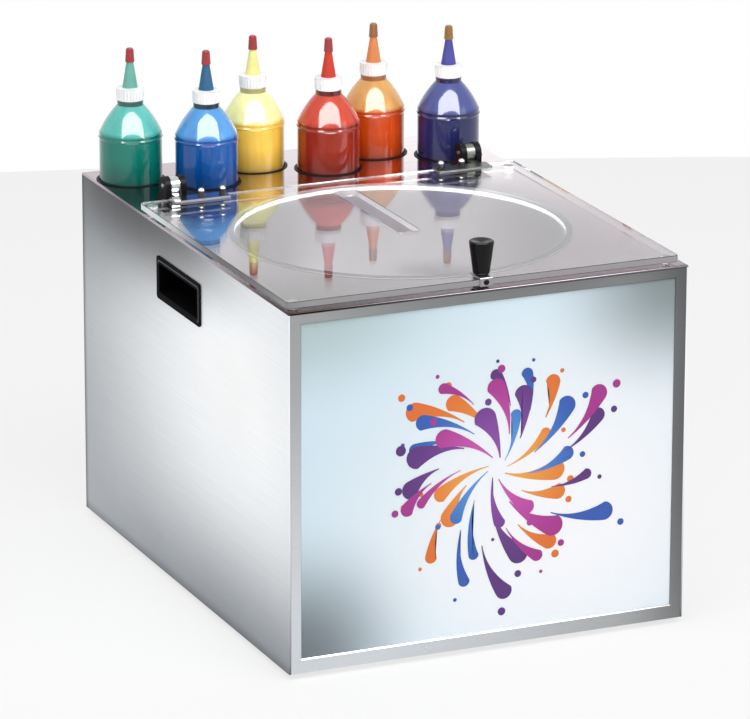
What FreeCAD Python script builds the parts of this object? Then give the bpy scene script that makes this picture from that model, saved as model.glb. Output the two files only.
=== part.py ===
"""Spin art machine: a stainless cabinet with a motor-driven turntable in a splash bowl, a clear hinged lid
with a paint slot, and six squeeze bottles of paint standing in wells behind the lid.

Frame: millimetres, +Z up, -Y the front, +X the operator's right, origin on the floor under the middle.
"""
import FreeCAD, Part, Sketcher
import math
import os
import re

SIZES = {
    # cabinet
    "cabinet_width": 383, "cabinet_depth": 500, "cabinet_height": 330, "sheet_gauge": 1.5,
    "foot_height": 5, "foot_radius": 12, "foot_inset": 20, "fit_gap": 0.3,
    "flange_width": 15, "foot_flange_width": 36, "deck_gauge": 2, "deck_edge_radius": 1.2,
    "rear_recess": 6, "pan_lip_height": 20, "deck_shift": -4,
    # front panel in its pressed frame
    "frame_border": 12, "frame_border_top": 9, "frame_border_foot": 13, "frame_bevel": 0.8,
    "graphic_thickness": 3, "front_flange_width": 18,
    # pocket handles in the sides
    "handle_length": 105, "handle_height": 40, "handle_drop": 49, "handle_forward": -5,
    "handle_flange": 4.5, "handle_proud": 1.2, "handle_depth": 24, "handle_wall": 2, "handle_corner": 3,
    # splash bowl
    "bowl_radius": 151, "bowl_front_share": 0.2107, "bowl_depth": 126, "bowl_floor_radius": 140, "bowl_gauge": 1.5,
    "bowl_rim": 4, "bowl_rim_gauge": 1.2, "bowl_corner": 18, "collar_radius": 16, "collar_height": 22,
    # turntable and its drive
    "disc_radius": 112, "disc_gauge": 3, "disc_height": 38, "disc_edge_radius": 1,
    "shaft_radius": 5, "running_gap": 0.05, "hub_radius": 30, "hub_flange": 4, "hub_boss_radius": 11.5,
    "hub_boss_height": 22, "hub_skirt_height": 16, "hub_skirt_wall": 2.5, "collar_gap": 2,
    "hub_screw_radius": 3, "hub_screw_head_radius": 6, "hub_screw_length": 18,
    "card_length": 178, "card_width": 127, "card_gap": 1, "clip_leg": 24, "clip_gauge": 3,
    "clip_height": 8, "clip_lip": 2.5, "clip_lip_gauge": 2,
    "crossbar_gap": 20, "crossbar_width": 110, "crossbar_gauge": 2, "crossbar_lip": 20,
    "crossbar_tab": 50, "gearbox_size": 84, "gearbox_height": 26, "gearbox_corner": 10,
    "gearbox_bore_depth": 20, "motor_radius": 40, "motor_height": 76, "motor_band_radius": 43,
    "motor_band_height": 40, "motor_boss_radius": 14, "motor_boss_height": 6,
    "motor_screw_offset": 31, "screw_radius": 2, "screw_head_radius": 3.8, "screw_head_height": 2.2,
    "screw_gap": 0.15, "motor_screw_length": 12, "panel_screw_length": 6,
    "bushing_radius": 8, "bushing_flange_radius": 12, "bushing_flange": 2,
    # lid
    "lid_thickness": 6, "lid_lift": 3, "lid_side_inset": 4, "lid_front_inset": 3,
    "lid_corner": 4, "slot_width": 22, "slot_length": 150, "slot_rear_inset": 34, "slot_corner": 4,
    "bumper_radius": 5, "bumper_gap": 0.1, "bumper_inset": 9,
    "clamp_width": 12, "clamp_gauge": 1.2, "clamp_reach": 19, "clamp_under_reach": 16, "knob_back": 10,
    "knob_height": 31, "knob_foot_radius": 7.2, "knob_top_radius": 11.3, "knob_foot_round": 3,
    "knob_top_round": 1.5, "knob_dish": 2, "knob_stud_radius": 2,
    # hinges
    "hinge_room": 41.7, "hinge_inset": 43, "hinge_ear_width": 20, "hinge_gap_width": 9, "hinge_ear_radius": 9,
    "hinge_base_height": 5, "hinge_base_reach": 6, "hinge_base_step": 4, "knuckle_radius": 8, "knuckle_gap": 0.3,
    "leaf_gauge": 2, "leaf_reach": 16, "leaf_length": 54, "leaf_bolt_near": 18, "leaf_bolt_pitch": 21,
    "bolt_radius": 1.9, "dome_radius": 3.2, "dome_height": 8, "pin_radius": 2.5, "ear_gap": 8,
    # bottles and their wells
    "row_side_gap": 6.15, "rear_row_gap": 1.2, "neighbour_gap": 6.66, "least_row_pitch": 20,
    "bottle_radius": 29.3, "bottle_wall": 1.2,
    "bottle_foot_round": 5, "bottle_bead": 0.7, "bead_drop": 4, "bead_half_height": 1.5, "bottle_body_height": 121, "bottle_shoulder_height": 26,
    "neck_radius": 10.8, "neck_height": 14.4, "neck_ring_radius": 12.2, "neck_ring_height": 4.5, "shoulder_bulge": 90, "paint_gap": 0.2, "paint_height": 120,
    "well_depth": 75, "well_gap": 0.6, "well_wall": 1.4, "well_rim": 1, "well_rim_height": 0.6,
    "well_floor": 2, "well_hole_gap": 0.3, "seat_gap": 0.2,
    "cap_radius": 12.5, "cap_height": 11.2, "cap_top": 1.6, "nozzle_foot_radius": 7.2, "nozzle_tip_radius": 2.6,
    "nozzle_height": 28.5, "nozzle_wall": 1.1, "tip_cover": 4, "tip_height": 13, "tip_wall": 0.9,
    "tip_top_radius": 3.6, "tip_round": 1.2,
    # switch and power inlet in the back
    "switch_inset": 41.5, "switch_up": 70, "switch_width": 22, "switch_height": 32, "switch_flange": 1.5,
    "switch_lip": 3.5, "switch_depth": 22, "rocker_side_gap": 0.3, "rocker_end_gap": 1, "rocker_pivot": 4,
    "rocker_proud": 1.5, "rocker_dip": 1.8, "rocker_root": 6, "rocker_tilt": 10,
    "inlet_inset": 96.5, "inlet_width": 48, "inlet_height": 28, "inlet_flange": 2, "inlet_body_width": 30,
    "inlet_body_height": 22, "inlet_depth": 24, "inlet_wall": 3, "inlet_socket_depth": 18,
    "blade_length": 12, "blade_width": 4, "blade_gauge": 2, "blade_pitch": 7, "blade_offset": 2.5,
    "vent_length": 70, "vent_height": 4, "vent_pitch": 12, "vent_up": 40, "panel_screw_inset": 8.5,
}

# Sizes that follow from the ones above.
DERIVED = {
    "bottle_pitch": "(cabinet_width - 2 * (bottle_radius + well_gap + well_wall + well_hole_gap + row_side_gap)) / 5",
    "rear_row": "cabinet_depth / 2 - rear_recess - sheet_gauge - rear_row_gap - bottle_radius - well_gap - well_wall",
    "neighbour_pitch": "2 * (bottle_radius + well_gap + well_wall + well_rim) + neighbour_gap",
    "row_pitch": "sqrt(max(neighbour_pitch ^ 2 - bottle_pitch ^ 2; least_row_pitch ^ 2))",
    "front_row": "rear_row - row_pitch",
    "wells_front": "front_row - bottle_radius - well_gap - well_wall - well_rim",
    "lid_rear": "wells_front - hinge_room",
    "slot_rear": "lid_rear - slot_rear_inset",
    "hinge_offset": "cabinet_width / 2 - hinge_inset",
    "wall_flange_forward": "cabinet_depth / 2 - 2 * sheet_gauge - graphic_thickness - front_flange_width",
    "spare_deck": "wall_flange_forward + wells_front - 2 * bowl_radius - bowl_rim",
    "bowl_forward": "wall_flange_forward - bowl_radius - bowl_front_share * spare_deck",
    "disc_drop": "bowl_depth - disc_height",
    "crossbar_drop": "bowl_depth + crossbar_gap",
    "switch_across": "cabinet_width / 2 - switch_inset",
    "inlet_across": "cabinet_width / 2 - inlet_inset",
}

# Bottles from the operator's left: the even ones stand in the rear row, the odd ones in the front row.
COLOURS = ["green", "blue", "yellow", "red", "orange", "violet"]
SIDES = {"left": -1, "right": 1}
VENT_COUNT = 6

doc = FreeCAD.newDocument("SpinArtMachine")
sheet = doc.addObject("Spreadsheet::Sheet", "Sizes")
for row, (alias, amount) in enumerate(SIZES.items(), 1):
    sheet.set("A%d" % row, alias)
    sheet.set("B%d" % row, str(amount))
    sheet.setAlias("B%d" % row, alias)
for row, (alias, formula) in enumerate(DERIVED.items(), len(SIZES) + 1):
    sheet.set("A%d" % row, alias)
    sheet.set("B%d" % row, "=" + formula)
    sheet.setAlias("B%d" % row, alias)
doc.recompute()

nodes = []


# Expressions

def cells(text):
    """Turn each size word of an expression into a reference to its cell."""
    known = SIZES.keys() | DERIVED.keys()
    return re.sub(r"[a-z][a-z_]+", lambda word: "Sizes." + word[0] if word[0] in known else word[0], str(text))


def value(text):
    """The number that an expression has now."""
    return float(sheet.evalExpression(cells(text)))


def bind(item, **formulas):
    """Tie properties of an object to expressions in the sheet's words."""
    for name, text in formulas.items():
        item.setExpression(name.replace("__", "."), cells(text))


# Places that several pieces share

HALF_WIDTH = "cabinet_width / 2"
HALF_DEPTH = "cabinet_depth / 2"
INNER_HALF = "(cabinet_width / 2 - sheet_gauge)"
CABINET_FOOT = "foot_height"
DECK_TOP = "(foot_height + cabinet_height)"
DECK_UNDER = "(foot_height + cabinet_height - deck_gauge)"
FRONT_WALL_FACE = "(-cabinet_depth / 2 + sheet_gauge + graphic_thickness)"
BACK_FACE = "(cabinet_depth / 2 - rear_recess)"
FLANGE_FACE = "(cabinet_depth / 2 - rear_recess - sheet_gauge)"
BOWL_MIDDLE = "-bowl_forward"
LID_UNDER = "(foot_height + cabinet_height + lid_lift)"
LID_TOP = "(foot_height + cabinet_height + lid_lift + lid_thickness)"
LID_FRONT = "(lid_front_inset - cabinet_depth / 2)"
KNOB_MIDDLE = "(lid_front_inset - cabinet_depth / 2 + knob_back)"
HINGE_BEHIND = "(lid_rear + ear_gap + hinge_ear_radius)"
HINGE_UP = "(foot_height + cabinet_height + lid_lift + lid_thickness + knuckle_radius)"
HANDLE_UP = "(foot_height + cabinet_height - handle_drop)"
SHAFT_TOP = "(disc_drop + disc_gauge + hub_flange)"
SWITCH_PIVOT = "(cabinet_depth / 2 - rear_recess - rocker_pivot)"


# Ways of making a piece

def new_body(label):
    piece = doc.addObject("PartDesign::Body", label)
    piece.Label = label
    nodes.append(piece)
    return piece


def place(piece, x=0, y=0, z=0):
    bind(piece, Placement__Base__x=x, Placement__Base__y=y, Placement__Base__z=z)


def arc_between(start, end, radius, to_left):
    """The short arc from start to end, with its centre on the left or right of the way."""
    chord = end - start
    side = FreeCAD.Vector(-chord.y, chord.x, 0).normalize() * (1 if to_left else -1)
    centre = (start + end) * 0.5 + side * math.sqrt(max(radius ** 2 - (chord.Length / 2) ** 2, 0))
    angles = [math.atan2(point.y - centre.y, point.x - centre.x) for point in (start, end)]
    first, last = angles if to_left else angles[::-1]
    if last < first:
        last += 2 * math.pi
    return Part.ArcOfCircle(Part.Circle(centre, FreeCAD.Vector(0, 0, 1), radius), first, last)


def hold(sketch, kind, item, vertex, text):
    """Give a sketch point or arc a dimension that follows the sheet."""
    reference = (item, vertex) if vertex else (item,)
    index = sketch.addConstraint(Sketcher.Constraint(kind, *reference, value(text)))
    sketch.setExpression("Constraints[%d]" % index, cells(text))


def add_outline(sketch, corners):
    """Close an outline through corners (x, y); a corner (x, y, radius, to_left) starts an arc."""
    points = [FreeCAD.Vector(value(corner[0]), value(corner[1]), 0) for corner in corners]
    first = sketch.GeometryCount
    ends = []
    for number, corner in enumerate(corners):
        start, end = points[number], points[(number + 1) % len(points)]
        if len(corner) == 2:
            sketch.addGeometry(Part.LineSegment(start, end), False)
            ends.append((1, 2))
        else:
            sketch.addGeometry(arc_between(start, end, value(corner[2]), corner[3]), False)
            ends.append((1, 2) if corner[3] else (2, 1))
    for number, corner in enumerate(corners):
        after = (number + 1) % len(corners)
        sketch.addConstraint(Sketcher.Constraint(
            "Coincident", first + number, ends[number][1], first + after, ends[after][0]))
        hold(sketch, "DistanceX", first + number, ends[number][0], corner[0])
        hold(sketch, "DistanceY", first + number, ends[number][0], corner[1])
        if len(corner) > 2:
            hold(sketch, "Radius", first + number, None, corner[2])


def add_circle(sketch, x, y, radius):
    centre = FreeCAD.Vector(value(x), value(y), 0)
    item = sketch.addGeometry(Part.Circle(centre, FreeCAD.Vector(0, 0, 1), value(radius)), False)
    hold(sketch, "DistanceX", item, 3, x)
    hold(sketch, "DistanceY", item, 3, y)
    hold(sketch, "Radius", item, None, radius)


def new_sketch(piece, plane, outlines=(), circles=(), offset="0"):
    """A sketch on one of the body's own planes, moved along that plane's normal by offset."""
    sketch = piece.newObject("Sketcher::SketchObject", piece.Label + "_sketch")
    origin_plane = [item for item in piece.Origin.OriginFeatures if item.Role == plane + "_Plane"][0]
    sketch.AttachmentSupport = [(origin_plane, "")]
    sketch.MapMode = "FlatFace"
    sketch.setExpression(".AttachmentOffset.Base.z", cells(offset))
    for corners in outlines:
        add_outline(sketch, corners)
    for circle in circles:
        add_circle(sketch, *circle)
    return sketch


def box(left, right, low, high):
    return [(left, low), (right, low), (right, high), (left, high)]


def round_box(left, right, low, high, radius):
    """A rectangle with rounded corners, going round with its inside on the left."""
    near_left, near_right = f"{left} + {radius}", f"{right} - {radius}"
    near_low, near_high = f"{low} + {radius}", f"{high} - {radius}"
    return [(near_left, low), (near_right, low, radius, True), (right, near_low),
            (right, near_high, radius, True), (near_right, high), (near_left, high, radius, True),
            (left, near_high), (left, near_low, radius, True)]


def add_feature(piece, kind, sketch, length=None, symmetric=False, reverse=False):
    """Pad or pocket a sketch; with no length it goes through everything both ways."""
    item = piece.newObject("PartDesign::" + kind, piece.Label + "_" + kind.lower())
    item.Profile = sketch
    item.Reversed = reverse
    if length is None:
        item.SideType = "Symmetric"
        item.Type = "ThroughAll"
    else:
        item.SideType = "Symmetric" if symmetric else "One side"
        bind(item, Length=length)
    piece.Tip = item
    doc.recompute()
    return item


def pad(piece, sketch, length, symmetric=False, reverse=False):
    return add_feature(piece, "Pad", sketch, length, symmetric, reverse)


def pocket(piece, sketch, length=None, reverse=False):
    return add_feature(piece, "Pocket", sketch, length, False, reverse)


def revolve(piece, corners):
    """Turn a half section, drawn in X and Z, about the body's own Z axis."""
    sketch = new_sketch(piece, "XZ", [corners])
    item = piece.newObject("PartDesign::Revolution", piece.Label + "_revolution")
    item.Profile = sketch
    item.ReferenceAxis = (sketch, ["V_Axis"])
    item.Angle = 360
    piece.Tip = item
    doc.recompute()
    return item


def dress_edges(piece, kind, chosen, **formulas):
    """Fillet or chamfer the edges that a rule chooses."""
    base = piece.Tip
    names = ["Edge%d" % number for number, edge in enumerate(base.Shape.Edges, 1) if chosen(edge)]
    item = piece.newObject("PartDesign::" + kind, piece.Label + "_" + kind.lower())
    item.Base = (base, names)
    bind(item, **formulas)
    piece.Tip = item
    doc.recompute()


def is_circle(edge, radius, height):
    """Whether an edge is a whole circle of this radius about Z at this height."""
    same_curve = isinstance(edge.Curve, Part.Circle) and abs(edge.Curve.Radius - value(radius)) < 0.01
    return same_curve and abs(edge.Curve.Center.z - value(height)) < 0.01 and edge.isClosed()


def lies_at(edge, axis, text):
    """Whether all of an edge has this coordinate."""
    low = getattr(edge.BoundBox, axis + "Min")
    high = getattr(edge.BoundBox, axis + "Max")
    return abs(low - value(text)) < 0.01 and abs(high - value(text)) < 0.01


def cylinder(name, radius, height, x, y, z):
    item = doc.addObject("Part::Cylinder", name)
    bind(item, Radius=radius, Height=height)
    place(item, x, y, z)
    return item


def cone(name, foot_radius, top_radius, height, x, y, z):
    item = doc.addObject("Part::Cone", name)
    bind(item, Radius1=foot_radius, Radius2=top_radius, Height=height)
    place(item, x, y, z)
    return item


def turn(item, axis, angle):
    """Set a primitive's direction; its place stays bound."""
    item.Placement.Rotation = FreeCAD.Rotation(axis, angle)


def fuse(name, items):
    item = doc.addObject("Part::MultiFuse", name)
    item.Shapes = items
    return item


def cut(name, base, tool):
    item = doc.addObject("Part::Cut", name)
    item.Base = base
    item.Tool = tool
    return item


def as_node(item, label):
    item.Label = label
    nodes.append(item)
    return item


# Cabinet

def screw_heights():
    """Where the back panel's screws stand up each side."""
    return [f"{CABINET_FOOT} + {share} * cabinet_height" for share in (0.1, 0.5, 0.9)]


def side_panel(label, side):
    """A folded side: a plain sheet with a deck flange, a foot flange and a rear flange turned inwards."""
    piece = new_body(label)
    outer = f"{side} * {HALF_WIDTH}"
    inner = f"{side} * {INNER_HALF}"
    front, rear = f"-{HALF_DEPTH}", HALF_DEPTH
    pad(piece, new_sketch(piece, "XY", [box(outer, inner, front, rear)], offset=CABINET_FOOT),
        f"{DECK_UNDER} - {CABINET_FOOT}")
    reach = f"{side} * ({HALF_WIDTH} - flange_width)"
    behind_wall = f"{FRONT_WALL_FACE} + sheet_gauge + fit_gap + front_flange_width"
    deck_flange = box(inner, reach, behind_wall, f"front_row - bottle_radius - flange_width")
    pad(piece, new_sketch(piece, "XY", [deck_flange], offset=f"{DECK_UNDER} - sheet_gauge"), "sheet_gauge")
    foot_reach = f"{side} * ({HALF_WIDTH} - foot_flange_width)"
    foot_flange = box(inner, foot_reach, f"{FRONT_WALL_FACE} + sheet_gauge + fit_gap", FLANGE_FACE)
    pad(piece, new_sketch(piece, "XY", [foot_flange], offset=CABINET_FOOT), "sheet_gauge")
    rear_flange = box(inner, reach, f"{FLANGE_FACE} - sheet_gauge", FLANGE_FACE)
    pad(piece, new_sketch(piece, "XY", [rear_flange], offset=CABINET_FOOT), f"{DECK_UNDER} - {CABINET_FOOT}")
    along, up = "(-handle_forward)", HANDLE_UP
    half_length = "(handle_length / 2 - handle_flange + fit_gap)"
    half_height = "(handle_height / 2 - handle_flange + fit_gap)"
    window = round_box(f"{along} - {half_length}", f"{along} + {half_length}",
                       f"{up} - {half_height}", f"{up} + {half_height}", "handle_corner")
    pocket(piece, new_sketch(piece, "YZ", [window]))
    hole = f"{side} * ({HALF_WIDTH} - panel_screw_inset)"
    holes = [(hole, height, "screw_radius + screw_gap") for height in screw_heights()]
    pocket(piece, new_sketch(piece, "XZ", circles=holes))
    return piece


def base_pan():
    """The floor of the cabinet, with its front and rear edges turned up."""
    piece = new_body("base_pan")
    front = f"{FRONT_WALL_FACE} + sheet_gauge"
    rear = f"{FLANGE_FACE} - sheet_gauge - fit_gap"
    low = f"{CABINET_FOOT} + sheet_gauge"
    profile = [(front, low), (rear, low), (rear, f"{low} + pan_lip_height"),
               (f"{rear} - sheet_gauge", f"{low} + pan_lip_height"),
               (f"{rear} - sheet_gauge", f"{low} + sheet_gauge"),
               (f"{front} + sheet_gauge", f"{low} + sheet_gauge"),
               (f"{front} + sheet_gauge", f"{low} + pan_lip_height"), (front, f"{low} + pan_lip_height")]
    pad(piece, new_sketch(piece, "YZ", [profile]), f"2 * ({INNER_HALF} - fit_gap)", symmetric=True)


def front_wall():
    """The plain sheet behind the printed panel, with a flange under the deck."""
    piece = new_body("front_wall")
    face = FRONT_WALL_FACE
    back = f"{face} + sheet_gauge"
    lip = f"{back} + front_flange_width"
    profile = [(face, CABINET_FOOT), (back, CABINET_FOOT), (back, f"{DECK_UNDER} - sheet_gauge"),
               (lip, f"{DECK_UNDER} - sheet_gauge"), (lip, DECK_UNDER), (face, DECK_UNDER)]
    pad(piece, new_sketch(piece, "YZ", [profile]), f"2 * ({INNER_HALF} - fit_gap)", symmetric=True)


def frame_box(inset_side, inset_foot, inset_top):
    """A rectangle in the front plane, inset from the frame's outer edge."""
    half = f"({INNER_HALF} - fit_gap - {inset_side})"
    return box(f"-{half}", half, f"{CABINET_FOOT} + {inset_foot}", f"{DECK_UNDER} - fit_gap - {inset_top}")


def front_frame():
    """The pressed frame round the printed panel: a flat border with its outer edge folded back."""
    piece = new_body("front_frame")
    outer = frame_box(0, 0, 0)
    opening = frame_box("(frame_border - sheet_gauge - fit_gap)", "frame_border_foot", "frame_border_top")
    pad(piece, new_sketch(piece, "XZ", [outer, opening], offset=f"{HALF_DEPTH} - sheet_gauge"), "sheet_gauge")
    pocket_box = frame_box("sheet_gauge", "sheet_gauge", "sheet_gauge")
    back = f"{HALF_DEPTH} - sheet_gauge - graphic_thickness"
    pad(piece, new_sketch(piece, "XZ", [outer, pocket_box], offset=back), "graphic_thickness")
    inner_half = f"({HALF_WIDTH} - frame_border)"

    def opening_edge(edge):
        inside = edge.BoundBox.XMin > -value(inner_half) - 0.01 and edge.BoundBox.XMax < value(inner_half) + 0.01
        return lies_at(edge, "Y", f"-{HALF_DEPTH}") and inside

    dress_edges(piece, "Chamfer", opening_edge, Size="frame_bevel")


def graphic_panel():
    """The printed panel, held between the frame and the front wall."""
    piece = new_body("graphic_panel")
    inset = "(sheet_gauge + fit_gap)"
    outline = frame_box(inset, inset, inset)
    back = f"{HALF_DEPTH} - sheet_gauge - graphic_thickness"
    pad(piece, new_sketch(piece, "XZ", [outline], offset=back), "graphic_thickness")


def back_panel():
    """The removable back, set in from the sides' edges, with its cut-outs and cooling slots."""
    piece = new_body("back_panel")
    half = f"({INNER_HALF} - fit_gap)"
    outline = box(f"-{half}", half, CABINET_FOOT, DECK_UNDER)
    pad(piece, new_sketch(piece, "XZ", [outline], offset=f"-{BACK_FACE}"), "sheet_gauge")
    windows = []
    for across, width, height in (
            ("switch_across", "(switch_width / 2 - switch_lip + fit_gap)", "(switch_height / 2 - switch_lip + fit_gap)"),
            ("inlet_across", "(inlet_body_width / 2 + fit_gap)", "(inlet_body_height / 2 + fit_gap)")):
        windows.append(box(f"-{across} - {width}", f"-{across} + {width}", f"switch_up - {height}",
                           f"switch_up + {height}"))
    for number in range(VENT_COUNT):
        low = f"vent_up + {number} * vent_pitch"
        windows.append(round_box("switch_across - vent_length", "switch_across", low, f"{low} + vent_height",
                                 "vent_height / 2.1"))
    hole = f"({HALF_WIDTH} - panel_screw_inset)"
    holes = [(f"{side} * {hole}", height, "screw_radius + screw_gap")
             for side in SIDES.values() for height in screw_heights()]
    pocket(piece, new_sketch(piece, "XZ", windows, holes))


def bottle_place(number):
    """The column and row of a bottle's axis."""
    across = f"({number - (len(COLOURS) - 1) / 2} * bottle_pitch + deck_shift)"
    behind = "front_row" if number % 2 else "rear_row"
    return across, behind


def deck_plate():
    """The top of the cabinet, cut out for the bowl and the bottle wells."""
    piece = new_body("deck_plate")
    outline = box(f"-{HALF_WIDTH}", HALF_WIDTH, f"-{HALF_DEPTH}", HALF_DEPTH)
    holes = [("deck_shift", BOWL_MIDDLE, "bowl_radius + well_hole_gap")]
    well = "bottle_radius + well_gap + well_wall + well_hole_gap"
    for number in range(len(COLOURS)):
        holes.append((*bottle_place(number), well))
    pad(piece, new_sketch(piece, "XY", [outline], holes, offset=DECK_UNDER), "deck_gauge")
    rim = [("X", f"-{HALF_WIDTH}"), ("X", HALF_WIDTH), ("Y", f"-{HALF_DEPTH}"), ("Y", HALF_DEPTH)]
    dress_edges(piece, "Fillet", lambda edge: lies_at(edge, "Z", DECK_TOP)
                and any(lies_at(edge, axis, text) for axis, text in rim), Radius="deck_edge_radius")


def rubber_feet():
    feet = []
    for side in (-1, 1):
        for end in (-1, 1):
            feet.append(cone("foot", "foot_radius - 1.5", "foot_radius", "foot_height",
                             f"{side} * ({HALF_WIDTH} - foot_inset)", f"{end} * ({HALF_DEPTH} - 2 * foot_inset)", 0))
    as_node(fuse("rubber_feet", feet), "rubber_feet")


def handle_cup(label, side):
    """A moulded finger pocket: a thin flange outside the sheet and a closed cup behind it."""
    piece = new_body(label)
    half_length, half_height = "(handle_length / 2)", "(handle_height / 2)"

    def outline(inset, corner):
        return round_box(f"-({half_length} - {inset})", f"({half_length} - {inset})",
                         f"-({half_height} - {inset})", f"({half_height} - {inset})", corner)

    pad(piece, new_sketch(piece, "YZ", [outline("0", "handle_corner")]), "handle_proud")
    shell = outline("handle_flange", "handle_corner")
    pad(piece, new_sketch(piece, "YZ", [shell]), "handle_depth", reverse=True)
    cavity = outline("(handle_flange + handle_wall)", "(handle_corner - 1)")
    pocket(piece, new_sketch(piece, "YZ", [cavity], offset="handle_proud"),
           "handle_depth + handle_proud - handle_wall")
    place(piece, f"{side} * {HALF_WIDTH}", "-handle_forward", HANDLE_UP)
    piece.Placement.Rotation = FreeCAD.Rotation(FreeCAD.Vector(0, 0, 1), 0 if side > 0 else 180)


# Bowl, turntable and drive

def splash_bowl():
    """A spun bowl that hangs in the deck by its rim, with a raised collar round the shaft."""
    piece = new_body("splash_bowl")
    inner_top = "bowl_radius - bowl_gauge"
    inner_floor = "bowl_floor_radius"
    outer_floor = "bowl_floor_radius + bowl_gauge"
    under = "-bowl_depth - bowl_gauge"
    collar_top = "collar_height - bowl_depth"
    revolve(piece, [
        ("bowl_radius + bowl_rim", "0"), ("bowl_radius + bowl_rim", "bowl_rim_gauge"),
        (inner_top, "bowl_rim_gauge"), (inner_floor, "-bowl_depth"),
        ("collar_radius + bowl_gauge", "-bowl_depth"), ("collar_radius + bowl_gauge", collar_top),
        ("collar_radius", collar_top), ("collar_radius", under),
        (outer_floor, under), ("bowl_radius", "0")])
    dress_edges(piece, "Fillet", lambda edge: is_circle(edge, inner_floor, "-bowl_depth"), Radius="bowl_corner")
    dress_edges(piece, "Fillet", lambda edge: is_circle(edge, outer_floor, under),
                Radius="bowl_corner + bowl_gauge")
    place(piece, "deck_shift", BOWL_MIDDLE, DECK_TOP)


def turntable_disc():
    piece = new_body("turntable_disc")
    circles = [("0", "0", "disc_radius"), ("0", "0", "hub_screw_head_radius + screw_gap")]
    pad(piece, new_sketch(piece, "XY", circles=circles, offset="-disc_drop - disc_gauge"), "disc_gauge")
    dress_edges(piece, "Fillet", lambda edge: is_circle(edge, "disc_radius", "-disc_drop"),
                Radius="disc_edge_radius")
    place(piece, "deck_shift", BOWL_MIDDLE, DECK_TOP)


def turntable_hub():
    """The moulded hub under the disc: a boss on the shaft and a skirt that covers the bowl's collar."""
    piece = new_body("turntable_hub")
    top = "-disc_drop - disc_gauge"
    under = f"-{SHAFT_TOP}"
    skirt = "(collar_radius + bowl_gauge + collar_gap)"
    bore = "shaft_radius + running_gap"
    revolve(piece, [
        ("hub_screw_radius + screw_gap", top), ("hub_radius", top), ("hub_radius", under),
        (f"{skirt} + hub_skirt_wall", under), (f"{skirt} + hub_skirt_wall", f"{under} - hub_skirt_height"),
        (skirt, f"{under} - hub_skirt_height"), (skirt, under), ("hub_boss_radius", under),
        ("hub_boss_radius", f"{under} - hub_boss_height"), (bore, f"{under} - hub_boss_height"),
        (bore, under), ("hub_screw_radius + screw_gap", under)])
    place(piece, "deck_shift", BOWL_MIDDLE, DECK_TOP)


def hub_screw():
    piece = new_body("hub_screw")
    shank = "hub_screw_radius"
    neck = "-disc_drop - disc_gauge"
    end = f"-disc_drop - disc_gauge - hub_flange - hub_screw_length"
    revolve(piece, [
        ("0", end), (shank, end), (shank, neck), ("hub_screw_head_radius", neck),
        ("hub_screw_head_radius", "-disc_drop - disc_gauge / 4"), ("0", "-disc_drop - disc_gauge / 4")])
    place(piece, "deck_shift", BOWL_MIDDLE, DECK_TOP)


def motor_shaft():
    """The output shaft, from the gearbox up into the hub, drilled for the hub screw."""
    piece = new_body("motor_shaft")
    foot = "-crossbar_drop - crossbar_gauge - gearbox_bore_depth + fit_gap"
    top = f"-{SHAFT_TOP} - fit_gap"
    drilled = f"{top} - hub_screw_length - fit_gap"
    hole = "hub_screw_radius + running_gap"
    revolve(piece, [("0", foot), ("shaft_radius", foot), ("shaft_radius", top), (hole, top),
                    (hole, drilled), ("0", drilled)])
    place(piece, "deck_shift", BOWL_MIDDLE, DECK_TOP)


def card_clips():
    """Four corner posts that grip a sheet of card on the disc."""
    piece = new_body("card_clips")
    posts, lips = [], []
    for across in (-1, 1):
        for along in (-1, 1):
            corner_x = f"{across} * (card_width / 2 + card_gap)"
            corner_y = f"{along} * (card_length / 2 + card_gap)"
            out_x, out_y = f"{corner_x} + {across} * clip_gauge", f"{corner_y} + {along} * clip_gauge"
            end_x, end_y = f"{corner_x} - {across} * clip_leg", f"{corner_y} - {along} * clip_leg"
            lip_x, lip_y = f"{corner_x} - {across} * clip_lip", f"{corner_y} - {along} * clip_lip"
            posts.append([(out_x, out_y), (end_x, out_y), (end_x, corner_y), (corner_x, corner_y),
                          (corner_x, end_y), (out_x, end_y)])
            lips.append([(out_x, out_y), (end_x, out_y), (end_x, lip_y), (lip_x, lip_y),
                         (lip_x, end_y), (out_x, end_y)])
    pad(piece, new_sketch(piece, "XY", posts, offset="-disc_drop"), "clip_height - clip_lip_gauge")
    pad(piece, new_sketch(piece, "XY", lips, offset="-disc_drop + clip_height - clip_lip_gauge"),
        "clip_lip_gauge")
    place(piece, "deck_shift", BOWL_MIDDLE, DECK_TOP)


def motor_crossbar():
    """A channel across the cabinet that carries the motor, with tabs turned down against the sides."""
    piece = new_body("motor_crossbar")
    half, inner_half = "(crossbar_width / 2)", "(crossbar_width / 2 - crossbar_gauge)"
    top, under, lip = "-crossbar_drop", "-crossbar_drop - crossbar_gauge", "-crossbar_drop - crossbar_lip"
    profile = [(f"-{half}", top), (half, top), (half, lip), (inner_half, lip), (inner_half, under),
               (f"-{inner_half}", under), (f"-{inner_half}", lip), (f"-{half}", lip)]
    reach = f"({INNER_HALF} - fit_gap)"
    pad(piece, new_sketch(piece, "YZ", [profile]), f"2 * {reach}", symmetric=True)
    tab = box(f"-{half}", half, "-crossbar_drop - crossbar_tab", top)
    pad(piece, new_sketch(piece, "YZ", [tab], offset=f"{reach} - crossbar_gauge"), "crossbar_gauge")
    pad(piece, new_sketch(piece, "YZ", [tab], offset=f"-{reach}"), "crossbar_gauge")
    holes = [("deck_shift", "0", "bushing_radius + running_gap")]
    holes += [(f"{x} + deck_shift", y, "screw_radius + screw_gap") for x, y in motor_screw_places()]
    pocket(piece, new_sketch(piece, "XY", circles=holes))
    place(piece, 0, BOWL_MIDDLE, DECK_TOP)


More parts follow.
